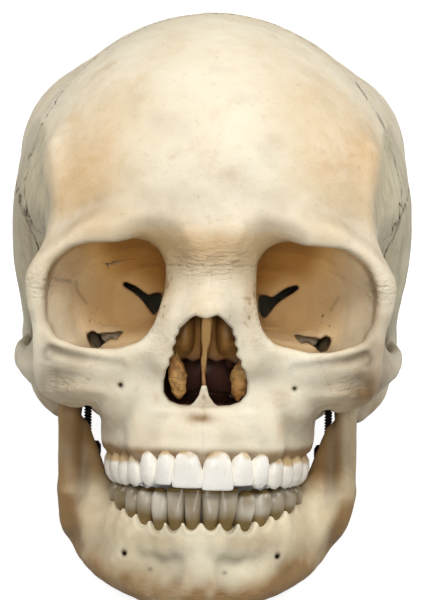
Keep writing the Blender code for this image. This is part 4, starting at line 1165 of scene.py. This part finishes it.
def make_conchae():
    for side, side_name in BOTH:
        name = "nasal_concha_" + side_name
        field = Field((4, -86, -20), (14, -50, 2), 0.45)
        field.add(rod(((11.2, -78, -2.5, 1.2), (10.4, -79, -6.5, 2.3), (9.7, -79.5, -10.5, 2.7),
                       (9.4, -79, -13.5, 1.9), (9.2, -78.5, -16, 0.7))))
        field.add(rod(((9.9, -79, -10, 2.0), (9.8, -68, -10, 2.2), (9.8, -55, -10, 1.6)), (1, 1, 2.0)), 2)
        points, quads = field.skin()
        points[:, 0] *= side
        if side < 0:
            quads = quads[:, ::-1]
        points, quads = largest_part(points, quads)
        mesh = fast_mesh(name, points, quads)
        facing = normals(mesh)
        relief = 0.6 * noise(points + 9, 2.6) + 0.3 * noise(points, 1.1)
        move_to(mesh, points + facing * relief[:, None])
        for key in ("grey", "deep", "wear_and_painted_light", "seam", "nose", "brown_tint"):
            set_value(mesh, key, np.zeros(len(points)))
        set_value(mesh, "hollow_shade_and_flecks", 0.5 * smooth_step(noise(points, 1.6), 0.2, 0.6))
        set_value(mesh, "warm", np.clip(0.3 + 0.4 * noise(points, 3), 0, 1))
        set_value(mesh, "rough", np.full(len(points), 0.8))
        finished(name, mesh, PLATE, name)


def make_springs():
    """Close coils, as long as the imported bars."""
    for side, side_name in BOTH:
        low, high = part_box("jaw_spring_" + side_name)
        length = (high - low).length / MM
        coil = bmesh.new()
        ring = bmesh.ops.create_circle(coil, segments=8, radius=WIRE)["verts"]
        bmesh.ops.rotate(coil, verts=ring, cent=(0, 0, 0), matrix=Matrix.Rotation(radians(90), 3, "X"))
        bmesh.ops.translate(coil, verts=ring, vec=(COIL, 0, 0))
        turns = int((length - 1.5) / PITCH)
        bmesh.ops.spin(coil, geom=coil.verts[:] + coil.edges[:], cent=(0, 0, 0), axis=(0, 0, 1),
                       dvec=(0, 0, PITCH / TURN_STEPS), angle=radians(360 * turns), steps=TURN_STEPS * turns)
        bmesh.ops.translate(coil, verts=coil.verts, vec=(side * SPRING_X, SPRING_Y, SPRING_FOOT))
        bmesh.ops.holes_fill(coil, edges=coil.edges, sides=0)
        bmesh.ops.recalc_face_normals(coil, faces=coil.faces)
        mesh = bpy.data.meshes.new("coil")
        coil.to_mesh(mesh)
        coil.free()
        finished("jaw_spring_" + side_name, mesh, STEEL, "jaw_spring_" + side_name)


make_bones()
make_teeth()
make_septum()
make_conchae()
make_springs()
for side, side_name in BOTH:
    bpy.data.objects["jaw_screw_" + side_name].material_slots[0].material = STEEL


# Floor, light and camera

# The dark patch under the mouth, in metres: half its width and length, and how far forward it lies
SHADE_WIDE, SHADE_LONG, SHADE_AHEAD = 0.035, 0.048, 0.034


def make_floor():
    """A sheet of white paper that stays white where it is seen, with a faint shadow."""
    shape = bmesh.new()
    bmesh.ops.create_grid(shape, x_segments=1, y_segments=1, size=8)
    mesh = bpy.data.meshes.new("floor")
    shape.to_mesh(mesh)
    shape.free()
    material, tree, paper, place = start_material("white paper")
    paper.inputs["Base Color"].default_value = (0.45, 0.45, 0.44, 1)
    paper.inputs["Roughness"].default_value = 0.95
    paper.inputs["Emission Color"].default_value = (1, 1, 1, 1)
    seen = node(tree, "LightPath", {}, "Is Camera Ray")
    # It stays dark in the deep shade inside the arch of the jaw
    from_middle = node(tree, "Mapping", {"Vector": place, "Location": (0, SHADE_AHEAD / SHADE_LONG, 0),
                                         "Scale": (1 / SHADE_WIDE, 1 / SHADE_LONG, 1)})
    far = node(tree, "VectorMath", {0: from_middle}, "Value", operation="LENGTH")
    share = node(tree, "MapRange", {0: far, 1: 0.7, 2: 1.1, 4: 0.82})
    glow = node(tree, "Math", {0: seen, 1: share}, operation="MULTIPLY")
    tree.links.new(glow, paper.inputs["Emission Strength"])
    mesh.materials.append(material)
    new_object("floor", mesh)


def lamp(name, place, target, size, power):
    light = bpy.data.lights.new(name, "AREA")
    light.shape = "DISK"
    light.size = size
    light.energy = power
    thing = new_object(name, light)
    thing.location = place
    thing.rotation_euler = (Vector(target) - Vector(place)).to_track_quat("-Z", "Y").to_euler()


def make_light():
    world = bpy.data.worlds.new("studio")
    bpy.context.scene.world = world
    world.use_nodes = True
    tree = world.node_tree
    seen = node(tree, "LightPath", {}, "Is Camera Ray")
    power = node(tree, "MapRange", {0: seen, 3: 0.22, 4: 1.0})
    tree.links.new(power, tree.nodes["Background"].inputs[1])
    tree.nodes["Background"].inputs[0].default_value = (1, 1, 1, 1)
    lamp("key", (0.08, -0.60, 1.35), (0, 0, 0.1), 0.45, 11.4)
    lamp("front", (0.0, -1.4, 0.78), (0, 0, 0.08), 0.35, 6.8)
    lamp("side left", (1.1, 0.3, 0.7), (0, 0, 0.1), 0.5, 5.8)
    lamp("side right", (-1.1, 0.3, 0.7), (0, 0, 0.1), 0.5, 5.4)


# The photo's focal length and height in pixels, and the sensor's size in millimetres
FOCAL, TALL, SENSOR = 2265, 600, 36


def make_camera():
    data = bpy.data.cameras.new("camera")
    data.lens = FOCAL * SENSOR / TALL
    data.sensor_width = SENSOR
    data.sensor_fit = "AUTO"
    data.shift_x = 0.0025
    camera = new_object("camera", data)
    view = Matrix.Translation((0, -0.800, 0.0153)) @ Matrix.Rotation(radians(90), 4, "X")
    camera.matrix_world = AT_REST @ view @ Matrix.Rotation(radians(1.15), 4, "Z")
    bpy.context.scene.camera = camera


make_floor()
make_light()
make_camera()
bpy.context.scene.view_settings.view_transform = "Standard"
